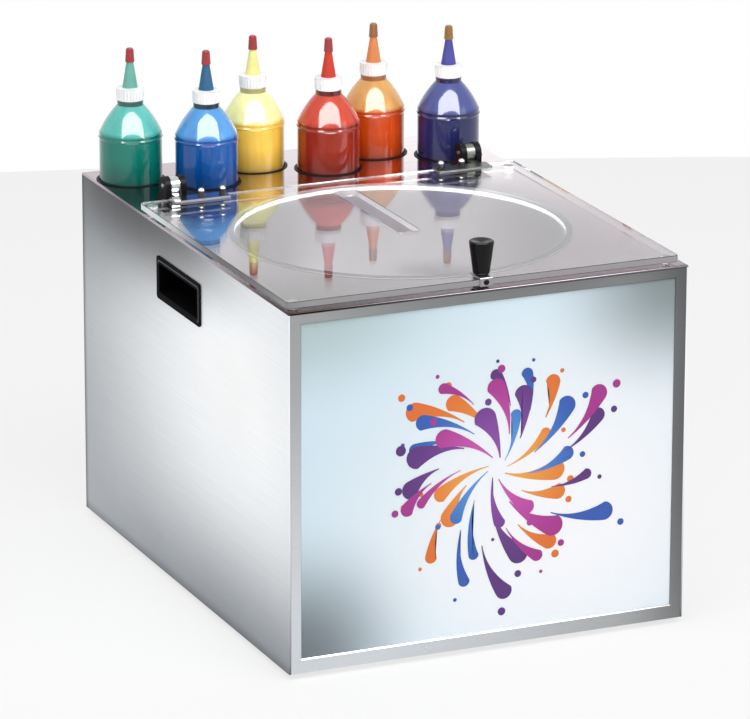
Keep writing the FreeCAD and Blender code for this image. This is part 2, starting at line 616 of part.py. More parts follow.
def motor_screw_places():
    return [(f"{x} * motor_screw_offset", f"{y} * motor_screw_offset") for x in (-1, 1) for y in (-1, 1)]


def gear_housing():
    """The cast gearbox, bolted up under the crossbar."""
    piece = new_body("gear_housing")
    half = "(gearbox_size / 2)"
    top = "-crossbar_drop - crossbar_gauge"
    outline = round_box(f"-{half}", half, f"-{half}", half, "gearbox_corner")
    pad(piece, new_sketch(piece, "XY", [outline], offset=f"{top} - gearbox_height"), "gearbox_height")
    bore = [("0", "0", "shaft_radius + running_gap")]
    pocket(piece, new_sketch(piece, "XY", circles=bore, offset=top), "gearbox_bore_depth")
    holes = [(x, y, "screw_radius + running_gap") for x, y in motor_screw_places()]
    pocket(piece, new_sketch(piece, "XY", circles=holes, offset=top), "motor_screw_length")
    place(piece, "deck_shift", BOWL_MIDDLE, DECK_TOP)


def motor_can():
    """The motor under the gearbox: a drawn can with the iron core's band round its middle."""
    piece = new_body("motor_can")
    top = "-crossbar_drop - crossbar_gauge - gearbox_height"
    band_top = f"{top} - (motor_height - motor_band_height) / 2"
    foot = f"{top} - motor_height"
    revolve(piece, [
        ("0", top), ("motor_radius", top), ("motor_radius", band_top), ("motor_band_radius", band_top),
        ("motor_band_radius", f"{band_top} - motor_band_height"),
        ("motor_radius", f"{band_top} - motor_band_height"), ("motor_radius", foot),
        ("motor_boss_radius", foot), ("motor_boss_radius", f"{foot} - motor_boss_height"),
        ("0", f"{foot} - motor_boss_height")])
    place(piece, "deck_shift", BOWL_MIDDLE, DECK_TOP)


def shaft_bushing():
    piece = new_body("shaft_bushing")
    top = "-crossbar_drop + bushing_flange"
    bore = "shaft_radius + running_gap"
    revolve(piece, [(bore, "-crossbar_drop - crossbar_gauge"), ("bushing_radius", "-crossbar_drop - crossbar_gauge"),
                    ("bushing_radius", "-crossbar_drop"), ("bushing_flange_radius", "-crossbar_drop"),
                    ("bushing_flange_radius", top), (bore, top)])
    place(piece, "deck_shift", BOWL_MIDDLE, DECK_TOP)


def pan_screw(name, shank_length, x, y, z):
    """A pan-head screw pointing down from z, as a head and a shank."""
    head = cylinder(name + "_head", "screw_head_radius", "screw_head_height", x, y, z)
    shank = cylinder(name + "_shank", "screw_radius", shank_length, x, y, f"{z} - {shank_length}")
    return fuse(name, [head, shank])


def cabinet_screws():
    """The screws that hold the gearbox to the crossbar and the back panel to the side flanges."""
    screws = []
    for x, y in motor_screw_places():
        screws.append(pan_screw("motor_screw", "motor_screw_length", f"{x} + deck_shift", f"{y} - bowl_forward",
                                f"({DECK_TOP} - crossbar_drop)"))
    backwards = FreeCAD.Vector(1, 0, 0)
    for side in SIDES.values():
        for height in screw_heights():
            x = f"{side} * ({HALF_WIDTH} - panel_screw_inset)"
            head = cylinder("back_screw_head", "screw_head_radius", "screw_head_height",
                            x, f"{BACK_FACE} + screw_head_height", height)
            shank = cylinder("back_screw_shank", "screw_radius", "panel_screw_length", x, BACK_FACE, height)
            for item in (head, shank):
                turn(item, backwards, 90)
            screws.append(fuse("back_screw", [head, shank]))
    as_node(fuse("cabinet_screws", screws), "cabinet_screws")


# Lid and hinges

def hinge_bolt_places():
    """The four bolts of the two hinge leaves."""
    places = []
    for side in SIDES.values():
        for number in (0, 1):
            across = f"{side} * (hinge_offset - leaf_bolt_near - {number} * leaf_bolt_pitch)"
            places.append((across, "lid_rear - leaf_reach / 2"))
    return places


def lid_sheet():
    """The clear sheet over the bowl, with the slot that paint is squeezed through."""
    piece = new_body("lid_sheet")
    half = f"({HALF_WIDTH} - lid_side_inset)"
    outline = round_box(f"-{half}", half, LID_FRONT, "lid_rear", "lid_corner")
    slot = round_box("-slot_width / 2", "slot_width / 2", "slot_rear - slot_length", "slot_rear", "slot_corner")
    holes = [(x, y, "bolt_radius + screw_gap") for x, y in hinge_bolt_places()]
    holes.append(("0", KNOB_MIDDLE, "knob_stud_radius + screw_gap"))
    pad(piece, new_sketch(piece, "XY", [outline, slot], holes, offset=LID_UNDER), "lid_thickness")
    place(piece, "deck_shift")


def lid_bumpers():
    bumpers = []
    half = f"({HALF_WIDTH} - lid_side_inset - bumper_inset)"
    for side in (-1, 1):
        for y in (f"{LID_FRONT} + bumper_inset", "lid_rear - bumper_inset"):
            bumpers.append(cone("bumper", "bumper_radius - 1", "bumper_radius", "lid_lift - bumper_gap",
                                f"{side} * {half} + deck_shift", y, f"{DECK_TOP} + bumper_gap"))
    as_node(fuse("lid_bumpers", bumpers), "lid_bumpers")


def knob_clamp():
    """A bent strip that wraps the lid's front edge under the knob."""
    piece = new_body("knob_clamp")
    face, outside = LID_FRONT, f"{LID_FRONT} - clamp_gauge"
    top, under = f"{LID_TOP} + clamp_gauge", f"{LID_UNDER} - clamp_gauge"
    profile = [(outside, under), (f"{face} + clamp_under_reach", under), (f"{face} + clamp_under_reach", LID_UNDER),
               (face, LID_UNDER), (face, LID_TOP), (f"{face} + clamp_reach", LID_TOP),
               (f"{face} + clamp_reach", top), (outside, top)]
    pad(piece, new_sketch(piece, "YZ", [profile]), "clamp_width", symmetric=True)
    hole = [("0", KNOB_MIDDLE, "knob_stud_radius + screw_gap")]
    pocket(piece, new_sketch(piece, "XY", circles=hole))
    corners = [(outside, under), (outside, top)]
    dress_edges(piece, "Fillet", lambda edge: any(
        lies_at(edge, "Y", y) and lies_at(edge, "Z", z) for y, z in corners), Radius="clamp_gauge * 0.9")
    place(piece, "deck_shift")


def lid_knob():
    """A tapered moulded knob, wider at its dished top, on a stud through the clamp and the lid."""
    piece = new_body("lid_knob")
    foot = f"{LID_TOP} + clamp_gauge"
    end = f"{LID_UNDER} - clamp_gauge"
    top = f"{foot} + knob_height"
    rim = "knob_top_radius - knob_top_round - 1"
    revolve(piece, [
        ("0", end), ("knob_stud_radius", end), ("knob_stud_radius", foot), ("knob_foot_radius", foot),
        ("knob_top_radius", top), (rim, top), ("0", f"{top} - knob_dish")])
    dress_edges(piece, "Fillet", lambda edge: is_circle(edge, "knob_foot_radius", foot), Radius="knob_foot_round")
    dress_edges(piece, "Fillet", lambda edge: is_circle(edge, "knob_top_radius", top), Radius="knob_top_round")
    place(piece, "deck_shift", KNOB_MIDDLE, 0)


def hinge_base(label, side):
    """A moulded hinge block on the deck: a foot and two rounded ears either side of the knuckle."""
    piece = new_body(label)
    left, right = "-hinge_ear_radius", "hinge_ear_radius"
    foot = f"{DECK_TOP} - {HINGE_UP}"
    profile = [(left, foot), (f"{right} + hinge_base_reach", foot),
               (f"{right} + hinge_base_reach", f"{foot} + hinge_base_height"), (right, f"{foot} + hinge_base_height + hinge_base_step"),
               (right, "0", "hinge_ear_radius", True), ("0", "hinge_ear_radius", "hinge_ear_radius", True), (left, "0")]
    pad(piece, new_sketch(piece, "YZ", [profile]), "hinge_ear_width", symmetric=True)
    half_gap = "(hinge_gap_width / 2)"
    slot = box(f"-{half_gap}", half_gap, f"{foot} + hinge_base_height", "2 * hinge_ear_radius")
    pocket(piece, new_sketch(piece, "XZ", [slot]))
    pocket(piece, new_sketch(piece, "YZ", circles=[("0", "0", "pin_radius + running_gap")]))
    place(piece, f"{side} * hinge_offset + deck_shift", HINGE_BEHIND, HINGE_UP)


def hinge_leaf(label, side):
    """A polished leaf on the lid, its tongue rolled into the knuckle between the ears."""
    piece = new_body(label)
    low, high = "-knuckle_radius", "-knuckle_radius + leaf_gauge"
    half_tongue = "(hinge_gap_width / 2 - knuckle_gap)"
    outer = f"{side} * hinge_ear_width / 2"
    inner = f"{side} * (hinge_ear_width / 2 - leaf_length)"
    rear = f"lid_rear - {HINGE_BEHIND}"
    plate = box(outer, inner, f"{rear} - leaf_reach", rear)
    pad(piece, new_sketch(piece, "XY", [plate], offset=low), "leaf_gauge")
    knuckle = [(f"{rear} - 1", low), ("0", low, "knuckle_radius", True), ("knuckle_radius", "0", "knuckle_radius", True),
               ("0", "knuckle_radius", "knuckle_radius", True),
               ("-sqrt(knuckle_radius ^ 2 - (knuckle_radius - leaf_gauge) ^ 2)", high), (f"{rear} - 1", high)]
    pad(piece, new_sketch(piece, "YZ", [knuckle]), f"2 * {half_tongue}", symmetric=True)
    pocket(piece, new_sketch(piece, "YZ", circles=[("0", "0", "pin_radius + running_gap")]))
    bolts = [(f"-{side} * (leaf_bolt_near + {number} * leaf_bolt_pitch)", f"{rear} - leaf_reach / 2",
              "bolt_radius + screw_gap") for number in (0, 1)]
    pocket(piece, new_sketch(piece, "XY", circles=bolts))
    place(piece, f"{side} * hinge_offset + deck_shift", HINGE_BEHIND, HINGE_UP)


def hinge_hardware():
    """The two hinge pins and the four dome-headed bolts through the leaves and the lid."""
    items = []
    sideways = FreeCAD.Vector(0, 1, 0)
    for side in SIDES.values():
        pin = cylinder("hinge_pin", "pin_radius", "hinge_ear_width + 1",
                       f"{side} * hinge_offset + deck_shift - (hinge_ear_width + 1) / 2", HINGE_BEHIND, HINGE_UP)
        turn(pin, sideways, 90)
        items.append(pin)
    for x, y in hinge_bolt_places():
        seat = f"({LID_TOP} + leaf_gauge)"
        x = f"{x} + deck_shift"
        collar = cylinder("bolt_collar", "dome_radius", "dome_height - dome_radius", x, y, seat)
        dome = doc.addObject("Part::Sphere", "bolt_dome")
        bind(dome, Radius="dome_radius", Angle1="0")
        place(dome, x, y, f"{seat} + dome_height - dome_radius")
        shank = cylinder("bolt_shank", "bolt_radius", f"{seat} - {LID_UNDER}", x, y, LID_UNDER)
        items.append(fuse("hinge_bolt", [collar, dome, shank]))
    as_node(fuse("hinge_hardware", items), "hinge_hardware")


# Bottles

BOTTLE_FLOOR = "(foot_height + cabinet_height - well_depth)"
SHOULDER = "bottle_body_height"
NECK = "(bottle_body_height + bottle_shoulder_height)"
NECK_TOP = "(bottle_body_height + bottle_shoulder_height + neck_height)"


def bottle_wells():
    """Six moulded cups under the deck, each with a thin rim on top of it."""
    cups = []
    inner = "bottle_radius + well_gap"
    for number in range(len(COLOURS)):
        x, y = bottle_place(number)
        floor = f"({BOTTLE_FLOOR} - well_floor - seat_gap)"
        depth = "(well_depth + well_floor + seat_gap)"
        wall = cylinder("well_wall", f"{inner} + well_wall", depth, x, y, floor)
        rim = cylinder("well_rim", f"{inner} + well_wall + well_rim", "well_rim_height", x, y, DECK_TOP)
        hollow = cylinder("well_hollow", inner, f"{depth} + well_rim_height", x, y, f"{floor} + well_floor")
        cups.append(cut("well", fuse("well_solid", [wall, rim]), hollow))
    as_node(fuse("bottle_wells", cups), "bottle_wells")


def bottle(colour, x, y):
    """A blown squeeze bottle: straight body, one bead under a bulging shoulder, open neck."""
    piece = new_body("bottle_" + colour)
    wall, neck = "bottle_wall", "neck_radius"
    bead = f"{SHOULDER} - bead_drop"
    revolve(piece, [
        ("0", "0"), ("bottle_radius - bottle_foot_round", "0", "bottle_foot_round", True),
        ("bottle_radius", "bottle_foot_round"), ("bottle_radius", f"{bead} - bead_half_height"),
        ("bottle_radius + bottle_bead", bead), ("bottle_radius", f"{bead} + bead_half_height"),
        ("bottle_radius", SHOULDER, "shoulder_bulge", True), ("neck_ring_radius", NECK),
        ("neck_ring_radius", f"{NECK} + neck_ring_height"), (neck, f"{NECK} + neck_ring_height"), (neck, NECK_TOP),
        (f"{neck} - {wall}", NECK_TOP), (f"{neck} - {wall}", f"{NECK} - 0.5", f"shoulder_bulge - {wall}", False),
        (f"bottle_radius - {wall}", SHOULDER), (f"bottle_radius - {wall}", f"bottle_foot_round"),
        (f"bottle_radius - bottle_foot_round", wall), ("0", wall)])
    place(piece, x, y, BOTTLE_FLOOR)


def paint_fill(colour, x, y):
    piece = new_body("paint_" + colour)
    radius = "(bottle_radius - bottle_wall - paint_gap)"
    low = "bottle_wall + paint_gap"
    revolve(piece, [("0", low), ("bottle_radius - bottle_foot_round - paint_gap", low),
                    (radius, "bottle_foot_round + paint_gap"), (radius, "paint_height"), ("0", "paint_height")])
    place(piece, x, y, BOTTLE_FLOOR)


def spout_cap(colour, x, y):
    """A screw cap and its long tapered nozzle in one moulding."""
    piece = new_body("spout_" + colour)
    foot = f"({NECK_TOP} - cap_height + cap_top)"
    top = f"({NECK_TOP} + cap_top)"
    inside = "neck_radius + paint_gap"
    revolve(piece, [
        (inside, foot), ("cap_radius", foot), ("cap_radius", top), ("nozzle_foot_radius", top),
        ("nozzle_tip_radius", f"{top} + nozzle_height"),
        ("nozzle_tip_radius - nozzle_wall", f"{top} + nozzle_height"),
        ("nozzle_foot_radius - nozzle_wall", NECK_TOP), (inside, NECK_TOP)])
    place(piece, x, y, BOTTLE_FLOOR)


def tip_cap(colour, x, y):
    """The small cap that pulls off the nozzle's tip."""
    piece = new_body("tip_cap_" + colour)
    nozzle_top = f"({NECK_TOP} + cap_top + nozzle_height)"
    foot = f"({nozzle_top} - tip_cover)"
    slope = "((nozzle_foot_radius - nozzle_tip_radius) / nozzle_height)"
    mouth = f"(nozzle_tip_radius + tip_cover * {slope} + paint_gap)"
    revolve(piece, [
        (mouth, foot), (f"{mouth} + tip_wall", foot), ("tip_top_radius", f"{foot} + tip_height - tip_round"),
        ("tip_top_radius - tip_round", f"{foot} + tip_height"), ("0", f"{foot} + tip_height"),
        ("0", f"{nozzle_top} + paint_gap"), ("nozzle_tip_radius + paint_gap", f"{nozzle_top} + paint_gap")])
    place(piece, x, y, BOTTLE_FLOOR)


# Switch and inlet

def switch_housing():
    """The rocker switch's housing, snapped into the back panel."""
    piece = new_body("switch_housing")

    def outline(inset):
        return box(f"-(switch_width / 2 - {inset})", f"(switch_width / 2 - {inset})",
                   f"-(switch_height / 2 - {inset})", f"(switch_height / 2 - {inset})")

    pad(piece, new_sketch(piece, "XZ", [outline("0")]), "switch_flange", reverse=True)
    pad(piece, new_sketch(piece, "XZ", [outline("switch_lip")]), "switch_depth")
    window = outline("switch_lip")
    pocket(piece, new_sketch(piece, "XZ", [outline("(switch_lip + sheet_gauge)")], offset="-switch_flange"),
           "switch_flange + switch_depth - sheet_gauge", reverse=True)
    place(piece, "-switch_across", BACK_FACE, "switch_up")


def switch_rocker():
    """The rocker, shown pressed at one end; it turns about X in its housing."""
    piece = new_body("switch_rocker")
    half_width = "(switch_width / 2 - switch_lip - sheet_gauge - rocker_side_gap)"
    half_height = "(switch_height / 2 - switch_lip - sheet_gauge - rocker_end_gap)"
    face = "(rocker_pivot + rocker_proud)"
    profile = [("-rocker_root", f"-{half_height} * 0.6"), (face, f"-{half_height}"), (f"{face} - rocker_dip", "0"),
               (face, half_height), ("-rocker_root", f"{half_height} * 0.6")]
    pad(piece, new_sketch(piece, "YZ", [profile]), f"2 * {half_width}", symmetric=True)
    place(piece, "-switch_across", SWITCH_PIVOT, "switch_up")
    piece.Placement.Rotation = FreeCAD.Rotation(FreeCAD.Vector(1, 0, 0), -value("rocker_tilt"))


def power_inlet():
    """A flanged appliance inlet with three blades in its socket."""
    piece = new_body("power_inlet")

    def outline(width, height):
        return box(f"-{width} / 2", f"{width} / 2", f"-{height} / 2", f"{height} / 2")

    pad(piece, new_sketch(piece, "XZ", [outline("inlet_width", "inlet_height")]), "inlet_flange", reverse=True)
    pad(piece, new_sketch(piece, "XZ", [outline("inlet_body_width", "inlet_body_height")]), "inlet_depth")
    socket = outline("(inlet_body_width - 2 * inlet_wall)", "(inlet_body_height - 2 * inlet_wall)")
    pocket(piece, new_sketch(piece, "XZ", [socket], offset="-inlet_flange"), "inlet_flange + inlet_socket_depth",
           reverse=True)
    blades = []
    for number, drop in ((-1, -1), (0, 1), (1, -1)):
        x, z = f"{number} * blade_pitch", f"{drop} * blade_offset"
        blades.append(box(f"{x} - blade_gauge / 2", f"{x} + blade_gauge / 2", f"{z} - blade_width / 2",
                          f"{z} + blade_width / 2"))
    pad(piece, new_sketch(piece, "XZ", blades, offset="inlet_socket_depth"), "blade_length", reverse=True)
    place(piece, "-inlet_across", BACK_FACE, "switch_up")


# The whole machine

for side_name, side_sign in SIDES.items():
    side_panel(side_name + "_side_panel", side_sign)
    handle_cup(side_name + "_handle_cup", side_sign)
base_pan()
front_wall()
front_frame()
graphic_panel()
back_panel()
deck_plate()
rubber_feet()
splash_bowl()
turntable_disc()
turntable_hub()
hub_screw()
motor_shaft()
card_clips()
motor_crossbar()
gear_housing()
motor_can()
shaft_bushing()
cabinet_screws()
lid_sheet()
lid_bumpers()
knob_clamp()
lid_knob()
for side_name, side_sign in SIDES.items():
    hinge_base(side_name + "_hinge_base", side_sign)
    hinge_leaf(side_name + "_hinge_leaf", side_sign)
hinge_hardware()
bottle_wells()
for position, paint_colour in enumerate(COLOURS):
    for make in (bottle, paint_fill, spout_cap, tip_cap):
        make(paint_colour, *bottle_place(position))
switch_housing()
switch_rocker()
power_inlet()

doc.recompute()
failed = [item.Label for item in doc.Objects if {"Invalid", "Error"} & set(item.State)]
failed += [node.Label for node in nodes if node.Shape.isNull() or not node.Shape.isValid()]
if failed:
    raise RuntimeError("these did not build: " + ", ".join(failed))
os.makedirs("parts", exist_ok=True)
for node in nodes:
    node.Shape.exportStep("parts/%s.step" % node.Label)
print(len(nodes), "sub-parts,", sum(len(node.Shape.Solids) for node in nodes), "solids")
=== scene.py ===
import math
import random

import bpy
import bmesh
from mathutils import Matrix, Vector


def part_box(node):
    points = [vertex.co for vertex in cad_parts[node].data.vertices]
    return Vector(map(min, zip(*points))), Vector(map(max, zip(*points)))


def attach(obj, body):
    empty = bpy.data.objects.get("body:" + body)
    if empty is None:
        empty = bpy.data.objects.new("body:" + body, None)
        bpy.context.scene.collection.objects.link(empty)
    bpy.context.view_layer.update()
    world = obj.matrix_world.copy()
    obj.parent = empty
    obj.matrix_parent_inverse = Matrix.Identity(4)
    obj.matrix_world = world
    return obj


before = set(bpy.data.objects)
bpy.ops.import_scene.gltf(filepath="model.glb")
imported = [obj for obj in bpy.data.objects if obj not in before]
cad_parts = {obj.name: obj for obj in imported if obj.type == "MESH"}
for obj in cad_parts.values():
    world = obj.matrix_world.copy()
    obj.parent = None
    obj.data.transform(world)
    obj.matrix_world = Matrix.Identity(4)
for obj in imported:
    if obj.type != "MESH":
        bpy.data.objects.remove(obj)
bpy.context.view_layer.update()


# The studio: a wide pale floor that ends behind the machine against a white surround, so its far
# edge is a straight line. The floor keeps a soft contact shadow.
FLOOR_RADIUS = 6.0
FLOOR_MIDDLE = (-1.347, -4.374, 0)
FLOOR_EDGES = 128
FLOOR_TONE = (0.925, 0.925, 0.925, 1)
FLOOR_ROUGHNESS = 0.9
FLOOR_GLOW = 0.8


def new_material(name):
    """A material, its node tree and its Principled shader."""
    material = bpy.data.materials.new(name)
    material.use_nodes = True
    tree = material.node_tree
    return material, tree, tree.nodes["Principled BSDF"]


def add_node(tree, kind, **settings):
    """Make a shader node and set its attributes; names that are inputs set the input's value."""
    node = tree.nodes.new(kind)
    for name, setting in settings.items():
        if hasattr(node, name):
            setattr(node, name, setting)
        else:
            node.inputs[name.replace("_", " ")].default_value = setting
    return node


def add_seen_mask(tree):
    """One for rays that show the surroundings: to the camera, in a reflection or through glass."""
    seen = add_node(tree, "ShaderNodeLightPath")
    mirrored = add_node(tree, "ShaderNodeMath", operation="MAXIMUM")
    either = add_node(tree, "ShaderNodeMath", operation="MAXIMUM")
    tree.links.new(seen.outputs["Is Camera Ray"], mirrored.inputs[0])
    tree.links.new(seen.outputs["Is Glossy Ray"], mirrored.inputs[1])
    tree.links.new(mirrored.outputs[0], either.inputs[0])
    tree.links.new(seen.outputs["Is Transmission Ray"], either.inputs[1])
    return either.outputs[0]


def add_piece(name, mesh, *materials):
    """Put a built mesh into the scene with its finishes."""
    data = bpy.data.meshes.new(name)
    mesh.to_mesh(data)
    mesh.free()
    for material in materials:
        data.materials.append(material)
    piece = bpy.data.objects.new(name, data)
    bpy.context.scene.collection.objects.link(piece)
    return piece


def add_floor():
    """A flat disc that glows a little where it is seen, and takes shadows."""
    mesh = bmesh.new()
    bmesh.ops.create_circle(mesh, cap_ends=True, segments=FLOOR_EDGES, radius=FLOOR_RADIUS)
    material, tree, shader = new_material("pale_table_top")
    shader.inputs["Base Color"].default_value = FLOOR_TONE
    shader.inputs["Roughness"].default_value = FLOOR_ROUGHNESS
    glow = add_node(tree, "ShaderNodeEmission", Color=FLOOR_TONE, Strength=1.0)
    share = add_node(tree, "ShaderNodeMath", operation="MULTIPLY")
    share.inputs[1].default_value = FLOOR_GLOW
    mix = add_node(tree, "ShaderNodeMixShader")
    tree.links.new(add_seen_mask(tree), share.inputs[0])
    tree.links.new(share.outputs[0], mix.inputs[0])
    tree.links.new(shader.outputs[0], mix.inputs[1])
    tree.links.new(glow.outputs[0], mix.inputs[2])
    tree.links.new(mix.outputs[0], tree.nodes["Material Output"].inputs["Surface"])
    floor = add_piece("floor", mesh, material)
    floor.location = FLOOR_MIDDLE


add_floor()


# Light: a plain bright room, a wide softbox up in front of the machine, and broad dim ones on the
# right and above, of which the upper one isn't mirrored. A bright lamp just before the first is
# seen only in reflections: it is the white gleam on each bottle's shoulder.
ROOM_LIGHT = 0.46
WINDOW_PLACE = Vector((-0.27, -0.74, 1.55))
WINDOW_SIZE = (2.3, 0.75)
SOFTBOXES = {
    "window_light": (WINDOW_PLACE, WINDOW_SIZE, 19.0),
    "side_light": ((1.7, -2.0, 1.3), (1.4, 1.4), 11.0),
    "top_light": ((0.2, 0.9, 2.6), (1.6, 1.6), 10.0),
}
LIGHT_AIM = Vector((0, 0.19, 0.40))
GLEAM_GAP = 0.02
GLEAM_POWER = 60.0


def add_room():
    """White wherever it is seen, and dimmer as a source of light."""
    world = bpy.data.worlds.new("studio")
    bpy.context.scene.world = world
    world.use_nodes = True
    tree = world.node_tree
    strength = add_node(tree, "ShaderNodeMapRange", To_Min=ROOM_LIGHT, To_Max=1.0)
    background = tree.nodes["Background"]
    background.inputs["Color"].default_value = (1, 1, 1, 1)
    tree.links.new(add_seen_mask(tree), strength.inputs["Value"])
    tree.links.new(strength.outputs["Result"], background.inputs["Strength"])


def add_softbox(name, place, size, power):
    """An oblong lamp that faces the machine."""
    lamp = bpy.data.lights.new(name, "AREA")
    lamp.shape = "RECTANGLE"
    lamp.size, lamp.size_y = size
    lamp.energy = power
    item = bpy.data.objects.new(name, lamp)
    item.location = place
    item.rotation_euler = (LIGHT_AIM - Vector(place)).to_track_quat("-Z", "Y").to_euler()
    bpy.context.scene.collection.objects.link(item)
    return item


add_room()
for light_name, (light_place, light_size, light_power) in SOFTBOXES.items():
    softbox = add_softbox(light_name, light_place, light_size, light_power)
    softbox.visible_glossy = light_name != "top_light"
gleam_place = WINDOW_PLACE + (LIGHT_AIM - WINDOW_PLACE).normalized() * GLEAM_GAP
gleam = add_softbox("window_gleam", gleam_place, WINDOW_SIZE, GLEAM_POWER)
gleam.visible_diffuse = False


# The camera: a long lens from the front left, looking down at the lid, at the photograph's angle.
# Its place, turn and lens were fitted to the corners of the cabinet.
CAMERA_AIM = Vector((-0.0627, -0.1407, 0.2472))
CAMERA_DISTANCE = 4.969
CAMERA_TURN = math.radians(-23.62)
CAMERA_TILT = math.radians(17.216)
CAMERA_ROLL = math.radians(0.14)
CAMERA_LENS = 268.7
CAMERA_SENSOR = 36
CAMERA_FAR = 100


def add_camera():
    """Aim the lens at the machine and make it the scene's camera."""
    data = bpy.data.cameras.new("camera")
    data.sensor_width = CAMERA_SENSOR
    data.lens = CAMERA_LENS
    data.clip_end = CAMERA_FAR
    camera = bpy.data.objects.new("camera", data)
    back = Vector((math.sin(CAMERA_TURN) * math.cos(CAMERA_TILT),
                   -math.cos(CAMERA_TURN) * math.cos(CAMERA_TILT), math.sin(CAMERA_TILT)))
    camera.location = CAMERA_AIM + back * CAMERA_DISTANCE
    camera.rotation_euler = back.to_track_quat("Z", "Y").to_euler()
    camera.rotation_euler.rotate_axis("Z", CAMERA_ROLL)
    bpy.context.scene.collection.objects.link(camera)
    bpy.context.scene.camera = camera


add_camera()
bpy.context.scene.view_settings.view_transform = "Standard"


# Cabinet sheets: brushed stainless, folded at the edges. The grain runs front to back on the
# sides. Soft patches of painted reflection and shade lie over it, dark at the top rear and pale
# in the middle.
MIX_SHARE = 0
MIX_FIRST = 6
MIX_SECOND = 7
MIX_RESULT = 2
NOISE_SPAN = (0.3, 0.7)
STREAK_TONES = (0.96, 1.06)
SMUDGE_SHARES = (0.8, 1.2)
SCRATCH_DEPTH = 0.00005
PLAIN = (1, 1, 1, 1)
ALONG_Y = (900, 12, 1400)
ALONG_X = (12, 900, 1400)


def new_group(name, inputs, outputs):
    """A node group with these sockets, and the nodes at its two ends."""
    group = bpy.data.node_groups.new(name, "ShaderNodeTree")
    for socket, kind in inputs.items():
        group.interface.new_socket(socket, in_out="INPUT", socket_type="NodeSocket" + kind)
    for socket, kind in outputs.items():
        group.interface.new_socket(socket, in_out="OUTPUT", socket_type="NodeSocket" + kind)
    return group, group.nodes.new("NodeGroupInput"), group.nodes.new("NodeGroupOutput")


def mix_tones(tree, share, first, second):
    """The first tone where the share is nought, the second where it is one."""
    mix = add_node(tree, "ShaderNodeMix", data_type="RGBA")
    tree.links.new(share, mix.inputs[MIX_SHARE])
    tree.links.new(first, mix.inputs[MIX_FIRST])
    tree.links.new(second, mix.inputs[MIX_SECOND])
    return mix.outputs[MIX_RESULT]


def multiply_tones(tree, first, second):
    """One tone times the other."""
    mix = add_node(tree, "ShaderNodeMix", data_type="RGBA", blend_type="MULTIPLY")
    mix.inputs[MIX_SHARE].default_value = 1.0
    tree.links.new(first, mix.inputs[MIX_FIRST])
    tree.links.new(second, mix.inputs[MIX_SECOND])
    return mix.outputs[MIX_RESULT]


def make_grain():
    """Fine parallel scratches: Stretch is how fine they are along each axis."""
    group, given, result = new_group(
        "brushed_grain", {"Stretch": "Vector"}, {"Height": "Float", "Smudge": "Float"})
    place = add_node(group, "ShaderNodeTexCoord")
    scaled = add_node(group, "ShaderNodeVectorMath", operation="MULTIPLY")
    lines = add_node(group, "ShaderNodeTexNoise", Scale=1.0, Detail=4.0, Roughness=0.7)
    smudge = add_node(group, "ShaderNodeTexNoise", Scale=9.0, Detail=3.0, Roughness=0.5)
    group.links.new(place.outputs["Object"], scaled.inputs[0])
    group.links.new(given.outputs["Stretch"], scaled.inputs[1])
    group.links.new(scaled.outputs[0], lines.inputs["Vector"])
    group.links.new(place.outputs["Object"], smudge.inputs["Vector"])
    group.links.new(lines.outputs["Fac"], result.inputs["Height"])
    group.links.new(smudge.outputs["Fac"], result.inputs["Smudge"])
    return group


def make_soft_tone():
    """One broad soft patch: Bright at Centre, Dark where the distance over Spread passes one."""
    group, given, result = new_group(
        "soft_tone",
        {"Centre": "Vector", "Spread": "Vector", "Bright": "Color", "Dark": "Color"},
        {"Color": "Color"})
    place = add_node(group, "ShaderNodeTexCoord")
    offset = add_node(group, "ShaderNodeVectorMath", operation="SUBTRACT")
    scaled = add_node(group, "ShaderNodeVectorMath", operation="DIVIDE")
    distance = add_node(group, "ShaderNodeVectorMath", operation="LENGTH")
    fade = add_node(group, "ShaderNodeMapRange", interpolation_type="SMOOTHERSTEP")
    group.links.new(place.outputs["Object"], offset.inputs[0])
    group.links.new(given.outputs["Centre"], offset.inputs[1])
    group.links.new(offset.outputs[0], scaled.inputs[0])
    group.links.new(given.outputs["Spread"], scaled.inputs[1])
    group.links.new(scaled.outputs[0], distance.inputs[0])
    group.links.new(distance.outputs["Value"], fade.inputs["Value"])
    tone = mix_tones(group, fade.outputs["Result"], given.outputs["Bright"], given.outputs["Dark"])
    group.links.new(tone, result.inputs["Color"])
    return group


GRAIN = make_grain()
SOFT_TONE = make_soft_tone()


def use_group(tree, group, **values):
    """Put a node group into a tree, with the values of its inputs."""
    node = tree.nodes.new("ShaderNodeGroup")
    node.node_tree = group
    for name, setting in values.items():
        node.inputs[name].default_value = setting
    return node


def add_bump(tree, height, distance, strength=0.5):
    """Give the shader a fine relief."""
    bump = add_node(tree, "ShaderNodeBump", Strength=strength, Distance=distance)
    tree.links.new(height, bump.inputs["Height"])
    tree.links.new(bump.outputs["Normal"], tree.nodes["Principled BSDF"].inputs["Normal"])


def blend_tone(tree, source, span, below, above):
    """A value between below and above that follows a group's output over its span."""
    scale = add_node(tree, "ShaderNodeMapRange", From_Min=span[0], From_Max=span[1],
                     To_Min=below, To_Max=above)
    tree.links.new(source, scale.inputs["Value"])
    return scale.outputs["Result"]


def patched_tone(tree, patches):
    """Multiply soft patches together: each is its centre, spread, tone inside and tone beyond."""
    total = None
    for centre, spread, inside, beyond in patches:
        soft = use_group(tree, SOFT_TONE, Centre=centre, Spread=spread, Bright=inside, Dark=beyond)
        patch = soft.outputs["Color"]
        total = multiply_tones(tree, total, patch) if total else patch
    return total


